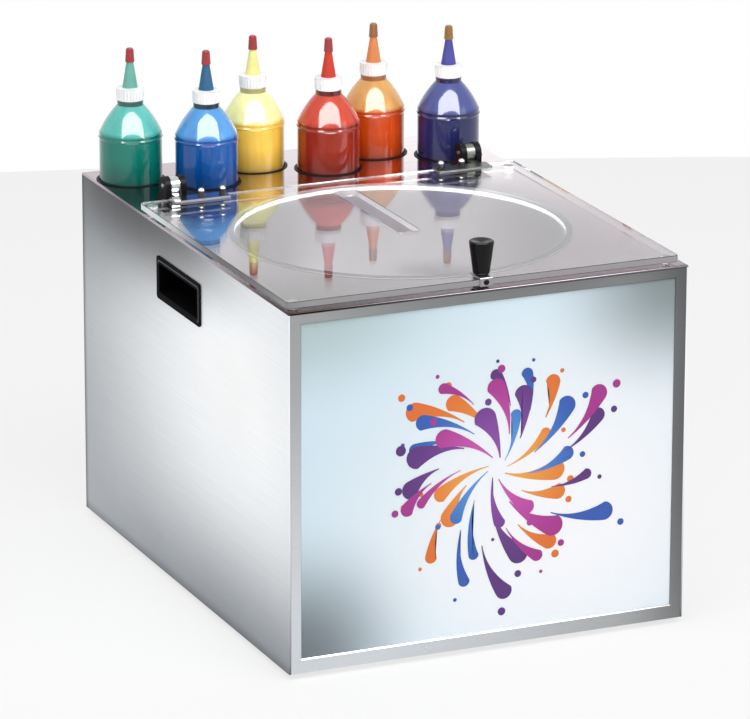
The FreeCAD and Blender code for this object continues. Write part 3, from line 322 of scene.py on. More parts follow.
def steel(name, patches, stretch, roughness, relief=0.35):
    """Stainless sheet with its grain, its smudges and soft patches of painted reflection and
    shade.
    """
    material, tree, shader = new_material(name)
    shader.inputs["Metallic"].default_value = 1.0
    grain = use_group(tree, GRAIN, Stretch=stretch)
    streaks = blend_tone(tree, grain.outputs["Height"], NOISE_SPAN, *STREAK_TONES)
    tone = multiply_tones(tree, patched_tone(tree, patches), streaks)
    tree.links.new(tone, shader.inputs["Base Color"])
    smooth, rough = (roughness * share for share in SMUDGE_SHARES)
    smudges = blend_tone(tree, grain.outputs["Smudge"], NOISE_SPAN, smooth, rough)
    tree.links.new(smudges, shader.inputs["Roughness"])
    add_bump(tree, grain.outputs["Height"], SCRATCH_DEPTH, relief)
    return material


def grey(level, cool=0.02):
    """A grey that leans a little to blue."""
    return (level * (1 - cool), level, level * (1 + cool), 1)


# Painted reflection and shade: pale in the middle, dark at the top rear, a dark line along the
# rear edge, darker along the bottom edge and towards the front foot.
SIDE_STEEL = steel("brushed_side", [
    ((0, -0.13, 0.235), (2, 0.54, 0.34), grey(1.0), grey(0.44, 0.06)),
    ((0, 0.20, 0.37), (2, 0.35, 0.19), grey(0.18, 0.04), PLAIN),
    ((0, 0.05, 0.345), (2, 0.30, 0.098), grey(0.22, 0.03), PLAIN),
    ((0, 0.252, 0.17), (2, 0.012, 2), grey(0.30), PLAIN),
    ((0, 0, 0.002), (2, 2, 0.016), grey(0.5), PLAIN),
    ((0, -0.14, -0.05), (2, 0.55, 0.21), grey(0.37, 0.05), PLAIN),
], ALONG_Y, 0.36)
# Painted reflection and shade: pale at the lower left, darker at the top and on the right.
FRAME_STEEL = steel("brushed_frame", [
    ((-0.16, 0, 0.04), (0.42, 2, 0.34), grey(0.66, 0.05), grey(0.37)),
    ((0.05, 0, 0.36), (0.34, 2, 0.13), grey(0.52, 0), PLAIN),
    ((0.22, 0, 0.20), (0.12, 2, 0.6), grey(0.28, 0), PLAIN),
], ALONG_X, 0.34)
# Painted reflection: paler in the middle.
HIDDEN_STEEL = steel("brushed_back", [
    ((0.05, 0, 0.2), (0.3, 2, 0.25), grey(0.68), grey(0.42)),
], ALONG_X, 0.38)


def dress(node, *materials):
    """Give a CAD node its finish."""
    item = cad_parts[node]
    item.data.materials.clear()
    for material in materials:
        item.data.materials.append(material)


dress("left_side_panel", SIDE_STEEL)
dress("right_side_panel", SIDE_STEEL)
for sheet_node in ("back_panel", "base_pan", "front_wall"):
    dress(sheet_node, HIDDEN_STEEL)
dress("front_frame", FRAME_STEEL)


# Rubber feet, pocket handles, well cups and the hinge blocks: moulded black rubber and plastic
# with a fine spark-eroded texture, slightly dusty on what faces up. A fine line runs round each
# pocket's mouth, painted pale along its top and front as a highlight: each of its rings is how far
# in it lies and how far it stands off the face.
MOULD_GRAIN = 1500.0
MOULD_DEPTH = 0.00004
MOULD_RELIEF = 0.4
CUP_LIP = ((0.0030, 0.000010), (0.0037, 0.000022), (0.0044, 0.000010))
CUP_LIP_HIGHLIGHT = 0.0088
CUP_LIP_CORNER = 0.003
CORNER_DEGREES = range(0, 91, 15)


def make_moulding():
    """Fine moulded texture; Dust lightens faces that look up."""
    group, given, result = new_group(
        "moulded_texture",
        {"Tone": "Color", "Dust": "Color", "Grain": "Float"},
        {"Color": "Color", "Height": "Float"})
    place = add_node(group, "ShaderNodeTexCoord")
    shape = add_node(group, "ShaderNodeNewGeometry")
    split = add_node(group, "ShaderNodeSeparateXYZ")
    fade = add_node(group, "ShaderNodeMapRange", From_Min=0.2, From_Max=1.0, To_Max=0.5)
    mottle = add_node(group, "ShaderNodeTexNoise", Scale=60.0, Detail=3.0)
    share = add_node(group, "ShaderNodeMath", operation="MULTIPLY")
    fine = add_node(group, "ShaderNodeTexNoise", Detail=2.0)
    group.links.new(shape.outputs["Normal"], split.inputs[0])
    group.links.new(split.outputs["Z"], fade.inputs["Value"])
    group.links.new(place.outputs["Object"], mottle.inputs["Vector"])
    group.links.new(fade.outputs["Result"], share.inputs[0])
    group.links.new(mottle.outputs["Fac"], share.inputs[1])
    tone = mix_tones(group, share.outputs[0], given.outputs["Tone"], given.outputs["Dust"])
    group.links.new(tone, result.inputs["Color"])
    group.links.new(place.outputs["Object"], fine.inputs["Vector"])
    group.links.new(given.outputs["Grain"], fine.inputs["Scale"])
    group.links.new(fine.outputs["Fac"], result.inputs["Height"])
    return group


MOULDING = make_moulding()


def moulded(name, tone, dust, roughness, grain=MOULD_GRAIN, depth=MOULD_DEPTH, shine=0.5):
    """Moulded rubber or plastic."""
    material, tree, shader = new_material(name)
    surface = use_group(tree, MOULDING, Tone=tone, Dust=dust, Grain=grain)
    tree.links.new(surface.outputs["Color"], shader.inputs["Base Color"])
    shader.inputs["Roughness"].default_value = roughness
    shader.inputs["Specular IOR Level"].default_value = shine
    add_bump(tree, surface.outputs["Height"], depth, MOULD_RELIEF)
    return material


BLACK_PLASTIC = moulded(
    "black_plastic", (0.004, 0.004, 0.005, 1), (0.02, 0.02, 0.022, 1), 0.42, shine=0.10)
BLACK_GLOSS = moulded(
    "black_gloss", (0.003, 0.003, 0.0035, 1), (0.008, 0.008, 0.008, 1), 0.16,
    grain=700.0, depth=0.00001, shine=0.18)
HANDLE_PLASTIC = moulded(
    "handle_plastic", (0.002, 0.002, 0.003, 1), (0.008, 0.008, 0.008, 1), 0.5, shine=0.015)
# Painted highlight: the pale tone of the pocket line's top and front.
LIP_HIGHLIGHT_PLASTIC = moulded(
    "painted_lip_highlight", (0.075, 0.075, 0.09, 1), (0.09, 0.09, 0.10, 1), 0.5, shine=0.1)
FOOT_RUBBER = moulded("foot_rubber", (0.02, 0.02, 0.02, 1), (0.06, 0.06, 0.06, 1), 0.8)
for plastic_node in ("left_hinge_base", "right_hinge_base", "bottle_wells",
                     "switch_housing", "power_inlet", "turntable_hub", "card_clips"):
    dress(plastic_node, BLACK_PLASTIC)
dress("rubber_feet", FOOT_RUBBER)
dress("switch_rocker", BLACK_GLOSS)


def rounded_loop(left, right, front, rear, radius):
    """Points round a rounded rectangle, from its first corner."""
    corners = [(right - radius, rear - radius, 0), (left + radius, rear - radius, 90),
               (left + radius, front + radius, 180), (right - radius, front + radius, 270)]
    turned = [(x, y, math.radians(start + turn))
              for x, y, start in corners for turn in CORNER_DEGREES]
    return [Vector((x + radius * math.cos(turn), y + radius * math.sin(turn)))
            for x, y, turn in turned]


def bridge(mesh, outer, inner):
    """Join two rings of points by a strip of faces."""
    return [mesh.faces.new(corners)
            for corners in zip(outer, outer[1:] + outer[:1], inner[1:] + inner[:1], inner)]


def make_handle_lip(node, side):
    """The fine raised line round the pocket's mouth, painted pale along its top and front as a
    highlight.
    """
    low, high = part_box(node)
    face = low.x if side < 0 else high.x
    mesh = bmesh.new()
    rings = []
    for inset, proud in CUP_LIP:
        loop = rounded_loop(low.y + inset, high.y - inset, low.z + inset, high.z - inset,
                            CUP_LIP_CORNER)
        rings.append([mesh.verts.new((face + side * proud, point.x, point.y)) for point in loop])
    for outer, inner in zip(rings, rings[1:]):
        for strip in bridge(mesh, outer, inner):
            middle = strip.calc_center_median()
            # The strips along the top and front take the painted highlight.
            highlighted = middle.z > high.z - CUP_LIP_HIGHLIGHT or middle.y < low.y + CUP_LIP_HIGHLIGHT
            strip.material_index = 1 if highlighted else 0
    bmesh.ops.recalc_face_normals(mesh, faces=mesh.faces[:])
    lip = add_piece(node + "_lip", mesh, HANDLE_PLASTIC, LIP_HIGHLIGHT_PLASTIC)
    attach(lip, "cabinet")


for cup_node, cup_side in (("left_handle_cup", -1), ("right_handle_cup", 1)):
    dress(cup_node, HANDLE_PLASTIC)
    make_handle_lip(cup_node, cup_side)


# The front panel: a printed plastic sheet under its pressed frame. A pale blue ground fades to
# white in the middle; over it a spray of paint drops is flung outwards in four colours, in rows
# that start, spread, lengthen and narrow as set here, each drop with a small dot past its head.
PANEL_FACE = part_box("graphic_panel")[0].y
PRINT_ROUGHNESS = 0.3
PRINT_COLOURS = {
    "orange": ((0.72, 0.15, 0.015, 1), (0.86, 0.36, 0.05, 1)),
    "blue": ((0.02, 0.09, 0.42, 1), (0.08, 0.30, 0.72, 1)),
    "purple": ((0.09, 0.02, 0.18, 1), (0.26, 0.06, 0.38, 1)),
    "magenta": ((0.36, 0.02, 0.24, 1), (0.58, 0.08, 0.42, 1)),
}
PRINT_SEED = 7
PRINT_LIFT = 0.00008
PRINT_STEP = 0.000003
FLING_CENTRE = Vector((0.008, 0.170))
FLING_REACH = 0.102
FLING_ROWS = 3
FIRST_ROW_DROPS = 9
MORE_EACH_ROW = 4
FIRST_ROW_START = 0.10
ROW_PITCH = 0.26
ROW_NARROWING = 0.12
START_SPAN = (0.85, 1.15)
LENGTH_SPAN = (0.30, 0.52)
WIDTH_SPAN = (0.10, 0.23)
DROP_SCATTER = 0.12
DROP_LEAN = 0.35
DROP_CURL = 0.30
DROP_STEPS = 14
TAIL_WIDTH = 0.03
HEAD_SWELL = 0.47
HEAD_POWER = 1.7
HEAD_DEGREES = range(-75, 90, 15)
DOT_TURN = 0.5
DOT_REACH = 1.35
DOT_SPAN = (0.14, 0.26)
DOT_EDGES = 12


def make_panel_ground():
    """The printed ground, shaded by the frame round it."""
    material, tree, shader = new_material("printed_ground")
    tone = patched_tone(tree, [
        ((0.07, -0.2485, 0.12), (0.32, 1, 0.28), (0.90, 0.905, 0.93, 1), (0.62, 0.77, 0.86, 1)),
        ((-0.19, -0.2485, 0.01), (0.16, 1, 0.16), (0.20, 0.20, 0.20, 1), PLAIN),
        ((-0.19, -0.2485, 0.34), (0.22, 1, 0.12), (0.66, 0.68, 0.62, 1), PLAIN),
        ((0.19, -0.2485, 0.33), (0.17, 1, 0.14), (0.32, 0.32, 0.30, 1), PLAIN),
    ])
    tree.links.new(tone, shader.inputs["Base Color"])
    shader.inputs["Roughness"].default_value = PRINT_ROUGHNESS
    shader.inputs["Coat Weight"].default_value = 0.4
    return material


dress("graphic_panel", make_panel_ground())


def ink(name, deep, pale):
    """Printed ink, deep at the drop's head and paler in its tail."""
    material, tree, shader = new_material(name)
    tone = use_group(tree, SOFT_TONE, Centre=(FLING_CENTRE.x, PANEL_FACE, FLING_CENTRE.y),
                     Spread=(FLING_REACH, 1, FLING_REACH), Bright=pale, Dark=deep)
    tree.links.new(tone.outputs["Color"], shader.inputs["Base Color"])
    shader.inputs["Roughness"].default_value = PRINT_ROUGHNESS
    return material


def toward(angle):
    """One unit along an angle on the panel."""
    return Vector((math.cos(angle), math.sin(angle)))


def drop_outline(start, length, width, angle):
    """A flung drop: a thin curved tail that swells into a round head."""
    left, right = [], []
    for step in range(DROP_STEPS + 1):
        share = step / DROP_STEPS
        bend = angle + DROP_CURL * share
        spine = start + toward(bend) * length * share
        swell = width * (TAIL_WIDTH + HEAD_SWELL * share ** HEAD_POWER)
        across = Vector((-math.sin(bend), math.cos(bend)))
        left.append(spine + across * swell)
        right.append(spine - across * swell)
    bend = angle + DROP_CURL
    head = start + toward(bend) * length
    dome = [head + toward(bend + math.radians(turn)) * width / 2 for turn in HEAD_DEGREES]
    return right + dome + left[::-1]


def make_print():
    """Lay the drops out in rows that thin outwards, each row turned against the last."""
    rng = random.Random(PRINT_SEED)
    sheets = {colour: [] for colour in PRINT_COLOURS}
    names = list(PRINT_COLOURS)
    for row in range(FLING_ROWS):
        count = FIRST_ROW_DROPS + MORE_EACH_ROW * row
        for number in range(count):
            outlines = sheets[names[(number + row) % len(names)]]
            even = math.tau * (number + 0.5 * (row % 2)) / count
            angle = even + rng.uniform(-DROP_SCATTER, DROP_SCATTER)
            inner = FLING_REACH * (FIRST_ROW_START + ROW_PITCH * row) * rng.uniform(*START_SPAN)
            start = FLING_CENTRE + toward(angle) * inner
            length = FLING_REACH * rng.uniform(*LENGTH_SPAN)
            width = FLING_REACH * rng.uniform(*WIDTH_SPAN) * (1 - ROW_NARROWING * row)
            outlines.append(drop_outline(start, length, width, angle + DROP_LEAN))
            dot = start + toward(angle + DOT_TURN) * length * DOT_REACH
            radius = width * rng.uniform(*DOT_SPAN)
            outlines.append([dot + toward(math.tau * step / DOT_EDGES) * radius
                             for step in range(DOT_EDGES)])
    depth = PANEL_FACE - PRINT_LIFT
    for colour, outlines in sheets.items():
        mesh = bmesh.new()
        for outline in outlines:
            depth -= PRINT_STEP
            mesh.faces.new([mesh.verts.new((point.x, depth, point.y)) for point in outline])
        bmesh.ops.triangulate(mesh, faces=mesh.faces[:], ngon_method="EAR_CLIP")
        piece = add_piece("print_" + colour, mesh, ink("ink_" + colour, *PRINT_COLOURS[colour]))
        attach(piece, "cabinet")


make_print()


# The deck and the bowl: the deck is polished nearly to a mirror, and the bowl is spun, so its
# fine marks run round it. The bowl's lip is painted pale all round as a highlight; the rolled rim
# above it has a painted white highlight line at the rear and painted shade at the front.
POLISHED_X = (6, 260, 260)
# Painted reflection and shade: pale pink at the rear right, dark at the front left, pinkish grey
# in front, a dark patch before the left bottles and a tinted band along the front edge.
DECK_STEEL = steel("polished_deck", [
    ((0.24, 0.26, 0.335), (0.50, 0.42, 1), (1.0, 0.92, 0.95, 1), (0.46, 0.395, 0.43, 1)),
    ((-0.20, -0.26, 0.335), (0.26, 0.24, 1), (0.10, 0.05, 0.05, 1), PLAIN),
    ((0.06, -0.18, 0.335), (0.42, 0.34, 1), (0.58, 0.46, 0.54, 1), PLAIN),
    ((-0.16, 0.14, 0.335), (0.13, 0.09, 1), grey(0.30), PLAIN),
    ((0, -0.254, 0.33), (2, 0.012, 2), (0.34, 0.50, 0.40, 1), PLAIN),
], POLISHED_X, 0.05, relief=0.03)
BOWL_LOW, BOWL_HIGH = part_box("splash_bowl")
BOWL_MIDDLE = (BOWL_LOW + BOWL_HIGH) / 2
SPUN_TONE = (0.56, 0.53, 0.55, 1)
SPUN_MOTTLE = 0.92
SPUN_ROUGHNESS = 0.28
SPUN_LINES = 110.0
SPUN_DEPTH = 0.00002
SPUN_RELIEF = 0.12
# Painted highlight on the lip band, and painted highlight and shade on the rim.
BOWL_LIP_LEVEL = 0.3312
BOWL_LIP_BLUR = 0.0006
BOWL_LIP_METAL = (0.3, 0.3, 0.3, 1)
RIM_LEVEL = 0.3351
RIM_BLUR = 0.0002
RIM_GLINT = (0.04, 0.07, 0.335)
RIM_SPREAD = (0.30, 0.24, 1)
RIM_SHADE = (0.06, 0.055, 0.057, 1)


def darker(tone, share):
    """The same tone at a share of its brightness."""
    return tuple(level * share for level in tone[:3]) + (1,)


def make_level_tone():
    """Two tones that meet at a height, over the depth of Blur."""
    group, given, result = new_group(
        "level_tone",
        {"Below": "Color", "Above": "Color", "Height": "Float", "Blur": "Float"},
        {"Color": "Color"})
    place = add_node(group, "ShaderNodeTexCoord")
    split = add_node(group, "ShaderNodeSeparateXYZ")
    less = add_node(group, "ShaderNodeMath", operation="SUBTRACT")
    share = add_node(group, "ShaderNodeMath", operation="DIVIDE", use_clamp=True)
    group.links.new(place.outputs["Object"], split.inputs[0])
    group.links.new(split.outputs["Z"], less.inputs[0])
    group.links.new(given.outputs["Height"], less.inputs[1])
    group.links.new(less.outputs[0], share.inputs[0])
    group.links.new(given.outputs["Blur"], share.inputs[1])
    tone = mix_tones(group, share.outputs[0], given.outputs["Below"], given.outputs["Above"])
    group.links.new(tone, result.inputs["Color"])
    return group


LEVEL_TONE = make_level_tone()


def make_spun_steel():
    """Fine rings about the bowl's axis over a faint mottle, under the painted highlights and shade
    of lip and rim.
    """
    material, tree, shader = new_material("spun_bowl")
    place = add_node(tree, "ShaderNodeTexCoord")
    shift = add_node(tree, "ShaderNodeVectorMath", operation="SUBTRACT")
    shift.inputs[1].default_value = (BOWL_MIDDLE.x, BOWL_MIDDLE.y, 0)
    rings = add_node(tree, "ShaderNodeTexWave", wave_type="RINGS", rings_direction="Z",
                     Scale=SPUN_LINES, Distortion=1.5, Detail=2.0)
    mottle = add_node(tree, "ShaderNodeTexNoise", Scale=14.0, Detail=3.0)
    spun = add_node(tree, "ShaderNodeMix", data_type="RGBA")
    spun.inputs[MIX_FIRST].default_value = darker(SPUN_TONE, SPUN_MOTTLE)
    spun.inputs[MIX_SECOND].default_value = SPUN_TONE
    tree.links.new(place.outputs["Object"], shift.inputs[0])
    tree.links.new(shift.outputs[0], rings.inputs["Vector"])
    tree.links.new(place.outputs["Object"], mottle.inputs["Vector"])
    tree.links.new(mottle.outputs["Fac"], spun.inputs[MIX_SHARE])
    lip = use_group(tree, LEVEL_TONE, Above=PLAIN, Height=BOWL_LIP_LEVEL, Blur=BOWL_LIP_BLUR)
    rim = use_group(tree, LEVEL_TONE, Height=RIM_LEVEL, Blur=RIM_BLUR)
    glint = patched_tone(tree, [(RIM_GLINT, RIM_SPREAD, PLAIN, RIM_SHADE)])
    tree.links.new(spun.outputs[MIX_RESULT], lip.inputs["Below"])
    tree.links.new(lip.outputs["Color"], rim.inputs["Below"])
    tree.links.new(glint, rim.inputs["Above"])
    tree.links.new(rim.outputs["Color"], shader.inputs["Base Color"])
    lip_metal = use_group(tree, LEVEL_TONE, Below=PLAIN, Above=BOWL_LIP_METAL,
                          Height=BOWL_LIP_LEVEL, Blur=BOWL_LIP_BLUR)
    rim_metal = use_group(tree, LEVEL_TONE, Above=PLAIN, Height=RIM_LEVEL, Blur=RIM_BLUR)
    tree.links.new(lip_metal.outputs["Color"], rim_metal.inputs["Below"])
    tree.links.new(rim_metal.outputs["Color"], shader.inputs["Metallic"])
    shader.inputs["Roughness"].default_value = SPUN_ROUGHNESS
    add_bump(tree, rings.outputs["Fac"], SPUN_DEPTH, SPUN_RELIEF)
    return material


SPUN_STEEL = make_spun_steel()
dress("deck_plate", DECK_STEEL)
dress("splash_bowl", SPUN_STEEL)
dress("turntable_disc", SPUN_STEEL)


# The drive, out of sight under the bowl: zinc-plated crossbar, screws and shaft, a cast gearbox,
# a painted motor and a bronze bushing.
METAL_GRAIN = 180.0
METAL_DEPTH = 0.00003
METAL_RELIEF = 0.3
METAL_DUST = 0.8
FINE_POLISH = 60.0


def metal(name, tone, roughness, grain=METAL_GRAIN):
    """Bare or plated metal, faintly dusty on what faces up."""
    material, tree, shader = new_material(name)
    shader.inputs["Metallic"].default_value = 1.0
    shader.inputs["Roughness"].default_value = roughness
    surface = use_group(tree, MOULDING, Tone=tone, Dust=darker(tone, METAL_DUST), Grain=grain)
    tree.links.new(surface.outputs["Color"], shader.inputs["Base Color"])
    add_bump(tree, surface.outputs["Height"], METAL_DEPTH, METAL_RELIEF)
    return material


ZINC = metal("zinc_plate", (0.66, 0.66, 0.62, 1), 0.34)
CHROME = metal("polished_steel", (0.60, 0.61, 0.63, 1), 0.12, FINE_POLISH)
MOTOR_PAINT = moulded(
    "motor_paint", (0.02, 0.022, 0.025, 1), (0.08, 0.08, 0.08, 1), 0.45, grain=400.0)
for steel_node in ("motor_crossbar", "cabinet_screws", "motor_shaft", "hub_screw"):
    dress(steel_node, ZINC)
dress("gear_housing", metal("cast_alloy", (0.52, 0.52, 0.53, 1), 0.5, 900.0))
dress("motor_can", MOTOR_PAINT)
dress("shaft_bushing", metal("sintered_bronze", (0.55, 0.36, 0.16, 1), 0.42, 1200.0))


# The lid: a clear acrylic sheet that mirrors the bottles behind it. Its saw-cut edges and the
# edges of the paint slot are frosted, with a white glow and grey shade painted on them; soft clear
# bumpers keep it off the deck.
LID_LOW, LID_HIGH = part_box("lid_sheet")
LID_CORNER = 0.004
SLOT_CORNER = 0.004
SLOT_WIDTH = 0.022
SLOT_LEFT = -0.015
SLOT_REAR = 0.066
SLOT_FRONT = SLOT_REAR - 0.150
EDGE_SKIN = 0.00025
EDGE_INSET = 0.0004
ACRYLIC_TONE = (0.97, 0.985, 0.99, 1)
ACRYLIC_SHADE = (0.93, 0.94, 0.95, 1)
ACRYLIC_HAZE = (0.0, 0.03)
HAZE_SPAN = (0.4, 0.8)
SAW_GRAIN = 800.0
SAW_DEPTH = 0.00003


def make_acrylic():
    """Clear sheet with a faint haze, which lets light straight through to what lies below."""
    material, tree, shader = new_material("clear_acrylic")
    shader.inputs["Base Color"].default_value = ACRYLIC_TONE
    shader.inputs["IOR"].default_value = 1.38
    shader.inputs["Transmission Weight"].default_value = 1.0
    haze = add_node(tree, "ShaderNodeTexNoise", Scale=35.0, Detail=3.0)
    rough = blend_tone(tree, haze.outputs["Fac"], HAZE_SPAN, *ACRYLIC_HAZE)
    seen = add_node(tree, "ShaderNodeLightPath")
    clear = add_node(tree, "ShaderNodeBsdfTransparent", Color=ACRYLIC_SHADE)
    mix = add_node(tree, "ShaderNodeMixShader")
    tree.links.new(rough, shader.inputs["Roughness"])
    tree.links.new(seen.outputs["Is Shadow Ray"], mix.inputs[0])
    tree.links.new(shader.outputs[0], mix.inputs[1])
    tree.links.new(clear.outputs[0], mix.inputs[2])
    tree.links.new(mix.outputs[0], tree.nodes["Material Output"].inputs["Surface"])
    return material


def make_frosted_glow(name, patches):
    """Saw-cut acrylic with a painted glow where light would leave the sheet, and painted grey
    shade elsewhere.
    """
    material, tree, shader = new_material(name)
    saw = use_group(tree, MOULDING, Grain=SAW_GRAIN)
    tree.links.new(patched_tone(tree, patches), shader.inputs["Base Color"])
    shader.inputs["Roughness"].default_value = 0.35
    add_bump(tree, saw.outputs["Height"], SAW_DEPTH)
    return material


def make_edge_band(name, loop, material):
    """A skin over an edge of the sheet, just short of its faces."""
    mesh = bmesh.new()
    lower = [mesh.verts.new((point.x, point.y, LID_LOW.z + EDGE_INSET)) for point in loop]
    upper = [mesh.verts.new((point.x, point.y, LID_HIGH.z - EDGE_INSET)) for point in loop]
    bridge(mesh, lower, upper)
    band = add_piece(name, mesh, material)
    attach(band, "lid")


LID_LOOP = rounded_loop(LID_LOW.x - EDGE_SKIN, LID_HIGH.x + EDGE_SKIN,
                        LID_LOW.y - EDGE_SKIN, LID_HIGH.y + EDGE_SKIN, LID_CORNER)
SLOT_LOOP = rounded_loop(SLOT_LEFT + EDGE_SKIN, SLOT_LEFT + SLOT_WIDTH - EDGE_SKIN,
                         SLOT_FRONT + EDGE_SKIN, SLOT_REAR - EDGE_SKIN, SLOT_CORNER)
# Painted glow and shade: the lid's edge is bright at the rear left, grey elsewhere and darker
# along the front of the left edge; the slot's right edge is bright and its left edge grey.
FROSTED_EDGE_GLOW = make_frosted_glow("frosted_edge_painted_glow", [
    ((-0.19, 0.10, 0.341), (0.30, 0.22, 1), (0.80, 0.87, 0.87, 1), (0.30, 0.29, 0.30, 1)),
    ((-0.19, -0.12, 0.341), (0.03, 0.20, 1), grey(0.30), PLAIN),
])
FROSTED_SLOT_GLOW = make_frosted_glow("frosted_slot_painted_glow", [
    ((0.012, -0.09, 0.341), (0.020, 0.40, 1), (0.92, 0.92, 0.92, 1), (0.46, 0.45, 0.46, 1)),
])
dress("lid_sheet", make_acrylic())
make_edge_band("lid_edge_band", LID_LOOP, FROSTED_EDGE_GLOW)
make_edge_band("slot_edge_band", SLOT_LOOP, FROSTED_SLOT_GLOW)
dress("lid_bumpers", moulded("clear_bumper", (0.7, 0.7, 0.7, 1), (0.8, 0.8, 0.8, 1), 0.3))


# Knob and hinges: a gloss black knob on a bright strip bent round the lid's edge, pinched by a
# small screw, and rolled hinge leaves between black ears, each held by two dome-headed bolts.
# The left leaf is bright; the right one is painted dull and dark as shade.
BOLT_COLLAR = (0.07, 0.07, 0.075, 1)
BOLT_DOME = (0.66, 0.67, 0.69, 1)
BOLT_ROUGHNESS = 0.20
DOME_LEVEL = 0.3508
DOME_BLUR = 0.0012
CLAMP_LOW, CLAMP_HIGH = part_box("knob_clamp")
SCREW_RADIUS = 0.0026
SCREW_RISE = 0.0009
SCREW_WALL = 0.0002
SCREW_GAP = 0.0001
SCREW_RINGS = (1.0, 0.97, 0.8, 0.5, 0.2)
SCREW_EDGES = 20


def make_bolt_steel():
    """Plated bolts and pins: bright above the domes' level, dark below it."""
    material, tree, shader = new_material("bolt_steel")
    shader.inputs["Metallic"].default_value = 1.0
    shader.inputs["Roughness"].default_value = BOLT_ROUGHNESS
    level = use_group(tree, LEVEL_TONE, Below=BOLT_COLLAR, Above=BOLT_DOME,
                      Height=DOME_LEVEL, Blur=DOME_BLUR)
    surface = use_group(tree, MOULDING, Grain=FINE_POLISH)
    tree.links.new(level.outputs["Color"], shader.inputs["Base Color"])
    add_bump(tree, surface.outputs["Height"], METAL_DEPTH, METAL_RELIEF)
    return material


def make_clamp_screw():
    """The small black dome-headed screw that pinches the strip shut from the front."""
    mesh = bmesh.new()
    rings = []
    for share in SCREW_RINGS:
        radius = share * SCREW_RADIUS
        rise = SCREW_RISE * math.sqrt(1 - share ** 2) + (0 if share == 1 else SCREW_WALL)
        turns = [math.tau * step / SCREW_EDGES for step in range(SCREW_EDGES)]
        rings.append([mesh.verts.new((radius * math.cos(turn), -rise, radius * math.sin(turn)))
                      for turn in turns])
    for outer, inner in zip(rings, rings[1:]):
        bridge(mesh, outer, inner)
    mesh.faces.new(rings[-1])
    for face in mesh.faces:
        face.smooth = True
    bmesh.ops.recalc_face_normals(mesh, faces=mesh.faces[:])
    screw = add_piece("clamp_screw_head", mesh, BLACK_GLOSS)
    screw.location = ((CLAMP_LOW.x + CLAMP_HIGH.x) / 2, CLAMP_LOW.y - SCREW_GAP,
                      (CLAMP_LOW.z + CLAMP_HIGH.z) / 2)
    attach(screw, "lid")


dress("lid_knob", BLACK_GLOSS)
dress("knob_clamp", metal("satin_strip", (0.34, 0.33, 0.34, 1), 0.32, 400.0))
dress("left_hinge_leaf", CHROME)
# Painted shade: the right leaf is dressed darker than the left one.
dress("right_hinge_leaf", metal("painted_shade_leaf", (0.20, 0.21, 0.19, 1), 0.30, FINE_POLISH))
dress("hinge_hardware", make_bolt_steel())
make_clamp_screw()


# The bottles: blown from soft, slightly cloudy plastic, so the paint shows through, deep below
# its surface and as a thin pale film on the shoulder above it. The caps are milky and finely
# ribbed, the long nozzles hold paint, and the tips are red or brown.
BOTTLES = {
    "green": ((0.002, 0.205, 0.155, 1), (0.10, 0.52, 0.46, 1), (0.16, 0.45, 0.37, 1)),
    "blue": ((0.002, 0.090, 0.370, 1), (0.08, 0.33, 0.74, 1), (0.035, 0.13, 0.26, 1)),
    "yellow": ((0.84, 0.54, 0.07, 1), (1.0, 0.98, 0.44, 1), (0.93, 0.88, 0.34, 1)),
    "red": ((0.27, 0.018, 0.004, 1), (0.62, 0.045, 0.015, 1), (0.58, 0.05, 0.03, 1)),
    "orange": ((0.50, 0.055, 0.004, 1), (0.74, 0.37, 0.10, 1), (0.74, 0.26, 0.09, 1)),
    "violet": ((0.014, 0.018, 0.095, 1), (0.06, 0.078, 0.29, 1), (0.08, 0.08, 0.34, 1)),
}
MILKY = (0.92, 0.93, 0.93, 1)
TIP_RED = (0.34, 0.030, 0.035, 1)
TIP_TONES = {"orange": (0.30, 0.12, 0.04, 1), "violet": (0.28, 0.13, 0.03, 1)}
# Painted shade: the body darkens towards its foot, where it stands in its well.
FOOT_SHADE_SHARE = 0.40
NECK_SHARE = 0.25
PALE_NECK_SHARE = 0.50
PALE_NECKS = ("yellow", "orange")
FOOT_LEVEL = 0.334
FOOT_BLUR = 0.026
PAINT_LEVEL = 0.380
PAINT_BLUR = 0.004
NECK_LEVEL = 0.4066
CAP_TOP = 0.4230
CAP_BLUR = 0.0008
CLOUD_STRETCH = (70, 70, 14)
CLOUD_TONES = (0.86, 1.06)
RIPPLE_DEPTH = 0.0003
RIPPLE_RELIEF = 0.2
RIB_COUNT = 30
RIB_DEPTH = 0.0004
RIB_ROOT = 0.0001
RIB_HALF = 0.27
RIB_FOOT = 0.0010
RIB_TOP = 0.0100


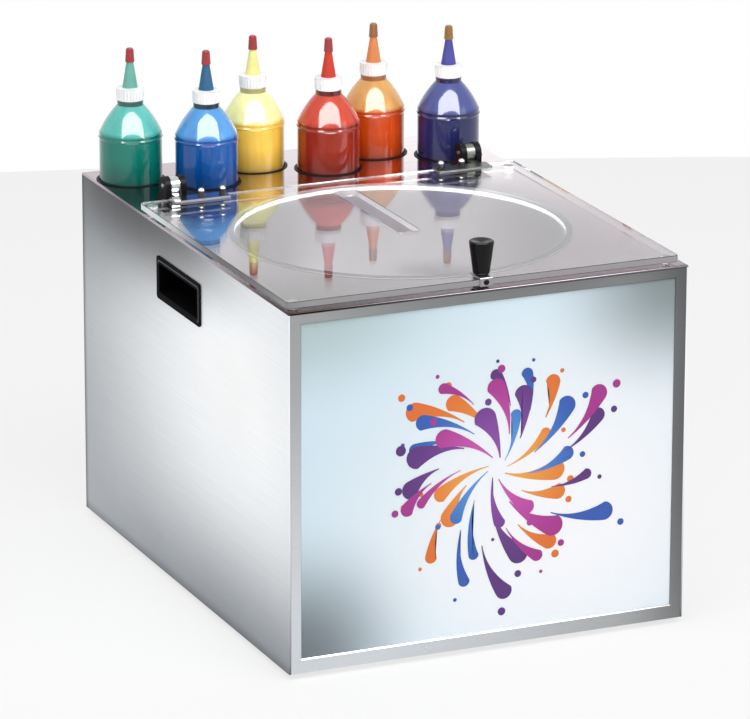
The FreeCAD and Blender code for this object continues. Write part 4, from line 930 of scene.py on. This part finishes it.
def filled_plastic(name, tone, levels, roughness, coat):
    """Plastic that changes tone at each level: its tone, its height and how soft the line is."""
    material, tree, shader = new_material(name)
    below = None
    for above, height, blur in levels:
        step = use_group(tree, LEVEL_TONE, Below=tone, Above=above, Height=height, Blur=blur)
        if below:
            tree.links.new(below, step.inputs["Below"])
        below = step.outputs["Color"]
    cloud = use_group(tree, GRAIN, Stretch=CLOUD_STRETCH)
    uneven = blend_tone(tree, cloud.outputs["Height"], NOISE_SPAN, *CLOUD_TONES)
    tree.links.new(multiply_tones(tree, below, uneven), shader.inputs["Base Color"])
    shader.inputs["Roughness"].default_value = roughness
    shader.inputs["Coat Weight"].default_value = coat
    shader.inputs["Coat Roughness"].default_value = 0.05
    shader.inputs["Specular IOR Level"].default_value = 0.1
    ripple = add_node(tree, "ShaderNodeTexNoise", Scale=55.0, Detail=2.0)
    add_bump(tree, ripple.outputs["Fac"], RIPPLE_DEPTH, RIPPLE_RELIEF)
    return material


def make_cap_ribs(colour, material):
    """The fine grip ribs round a screw cap, each a wedge rooted just inside its wall."""
    low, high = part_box("spout_" + colour)
    middle = (low + high) / 2
    radius = (high.x - low.x) / 2
    half = math.tau / RIB_COUNT * RIB_HALF
    mesh = bmesh.new()
    for number in range(RIB_COUNT):
        turn = math.tau * number / RIB_COUNT
        profile = [(turn - half, radius - RIB_ROOT), (turn, radius + RIB_DEPTH),
                   (turn + half, radius - RIB_ROOT)]
        outline = [(middle.x + reach * math.cos(angle), middle.y + reach * math.sin(angle))
                   for angle, reach in profile]
        lower = [mesh.verts.new((x, y, low.z + RIB_FOOT)) for x, y in outline]
        upper = [mesh.verts.new((x, y, low.z + RIB_TOP)) for x, y in outline]
        for first in (0, 1):
            mesh.faces.new((lower[first], lower[first + 1], upper[first + 1], upper[first]))
        mesh.faces.new(lower[::-1])
        mesh.faces.new(upper)
    ribs = add_piece("cap_ribs_" + colour, mesh, material)
    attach(ribs, "bottle_" + colour)


for colour, (deep, film, nozzle) in BOTTLES.items():
    neck = darker(nozzle, PALE_NECK_SHARE if colour in PALE_NECKS else NECK_SHARE)
    dress("bottle_" + colour, filled_plastic("bottle_" + colour, darker(deep, FOOT_SHADE_SHARE), [
        (deep, FOOT_LEVEL, FOOT_BLUR),
        (film, PAINT_LEVEL, PAINT_BLUR),
        (neck, NECK_LEVEL, CAP_BLUR),
    ], roughness=0.22, coat=1.0))
    dress("paint_" + colour, filled_plastic("paint_" + colour, deep, [
        (film, PAINT_LEVEL, PAINT_BLUR),
    ], roughness=0.3, coat=0.2))
    cap_plastic = filled_plastic("spout_" + colour, MILKY, [
        (nozzle, CAP_TOP, CAP_BLUR),
    ], roughness=0.35, coat=0.2)
    dress("spout_" + colour, cap_plastic)
    make_cap_ribs(colour, cap_plastic)
    tip = TIP_TONES.get(colour, TIP_RED)
    dress("tip_cap_" + colour, moulded("tip_" + colour, tip, tip, 0.3, 500.0, 0.00001))
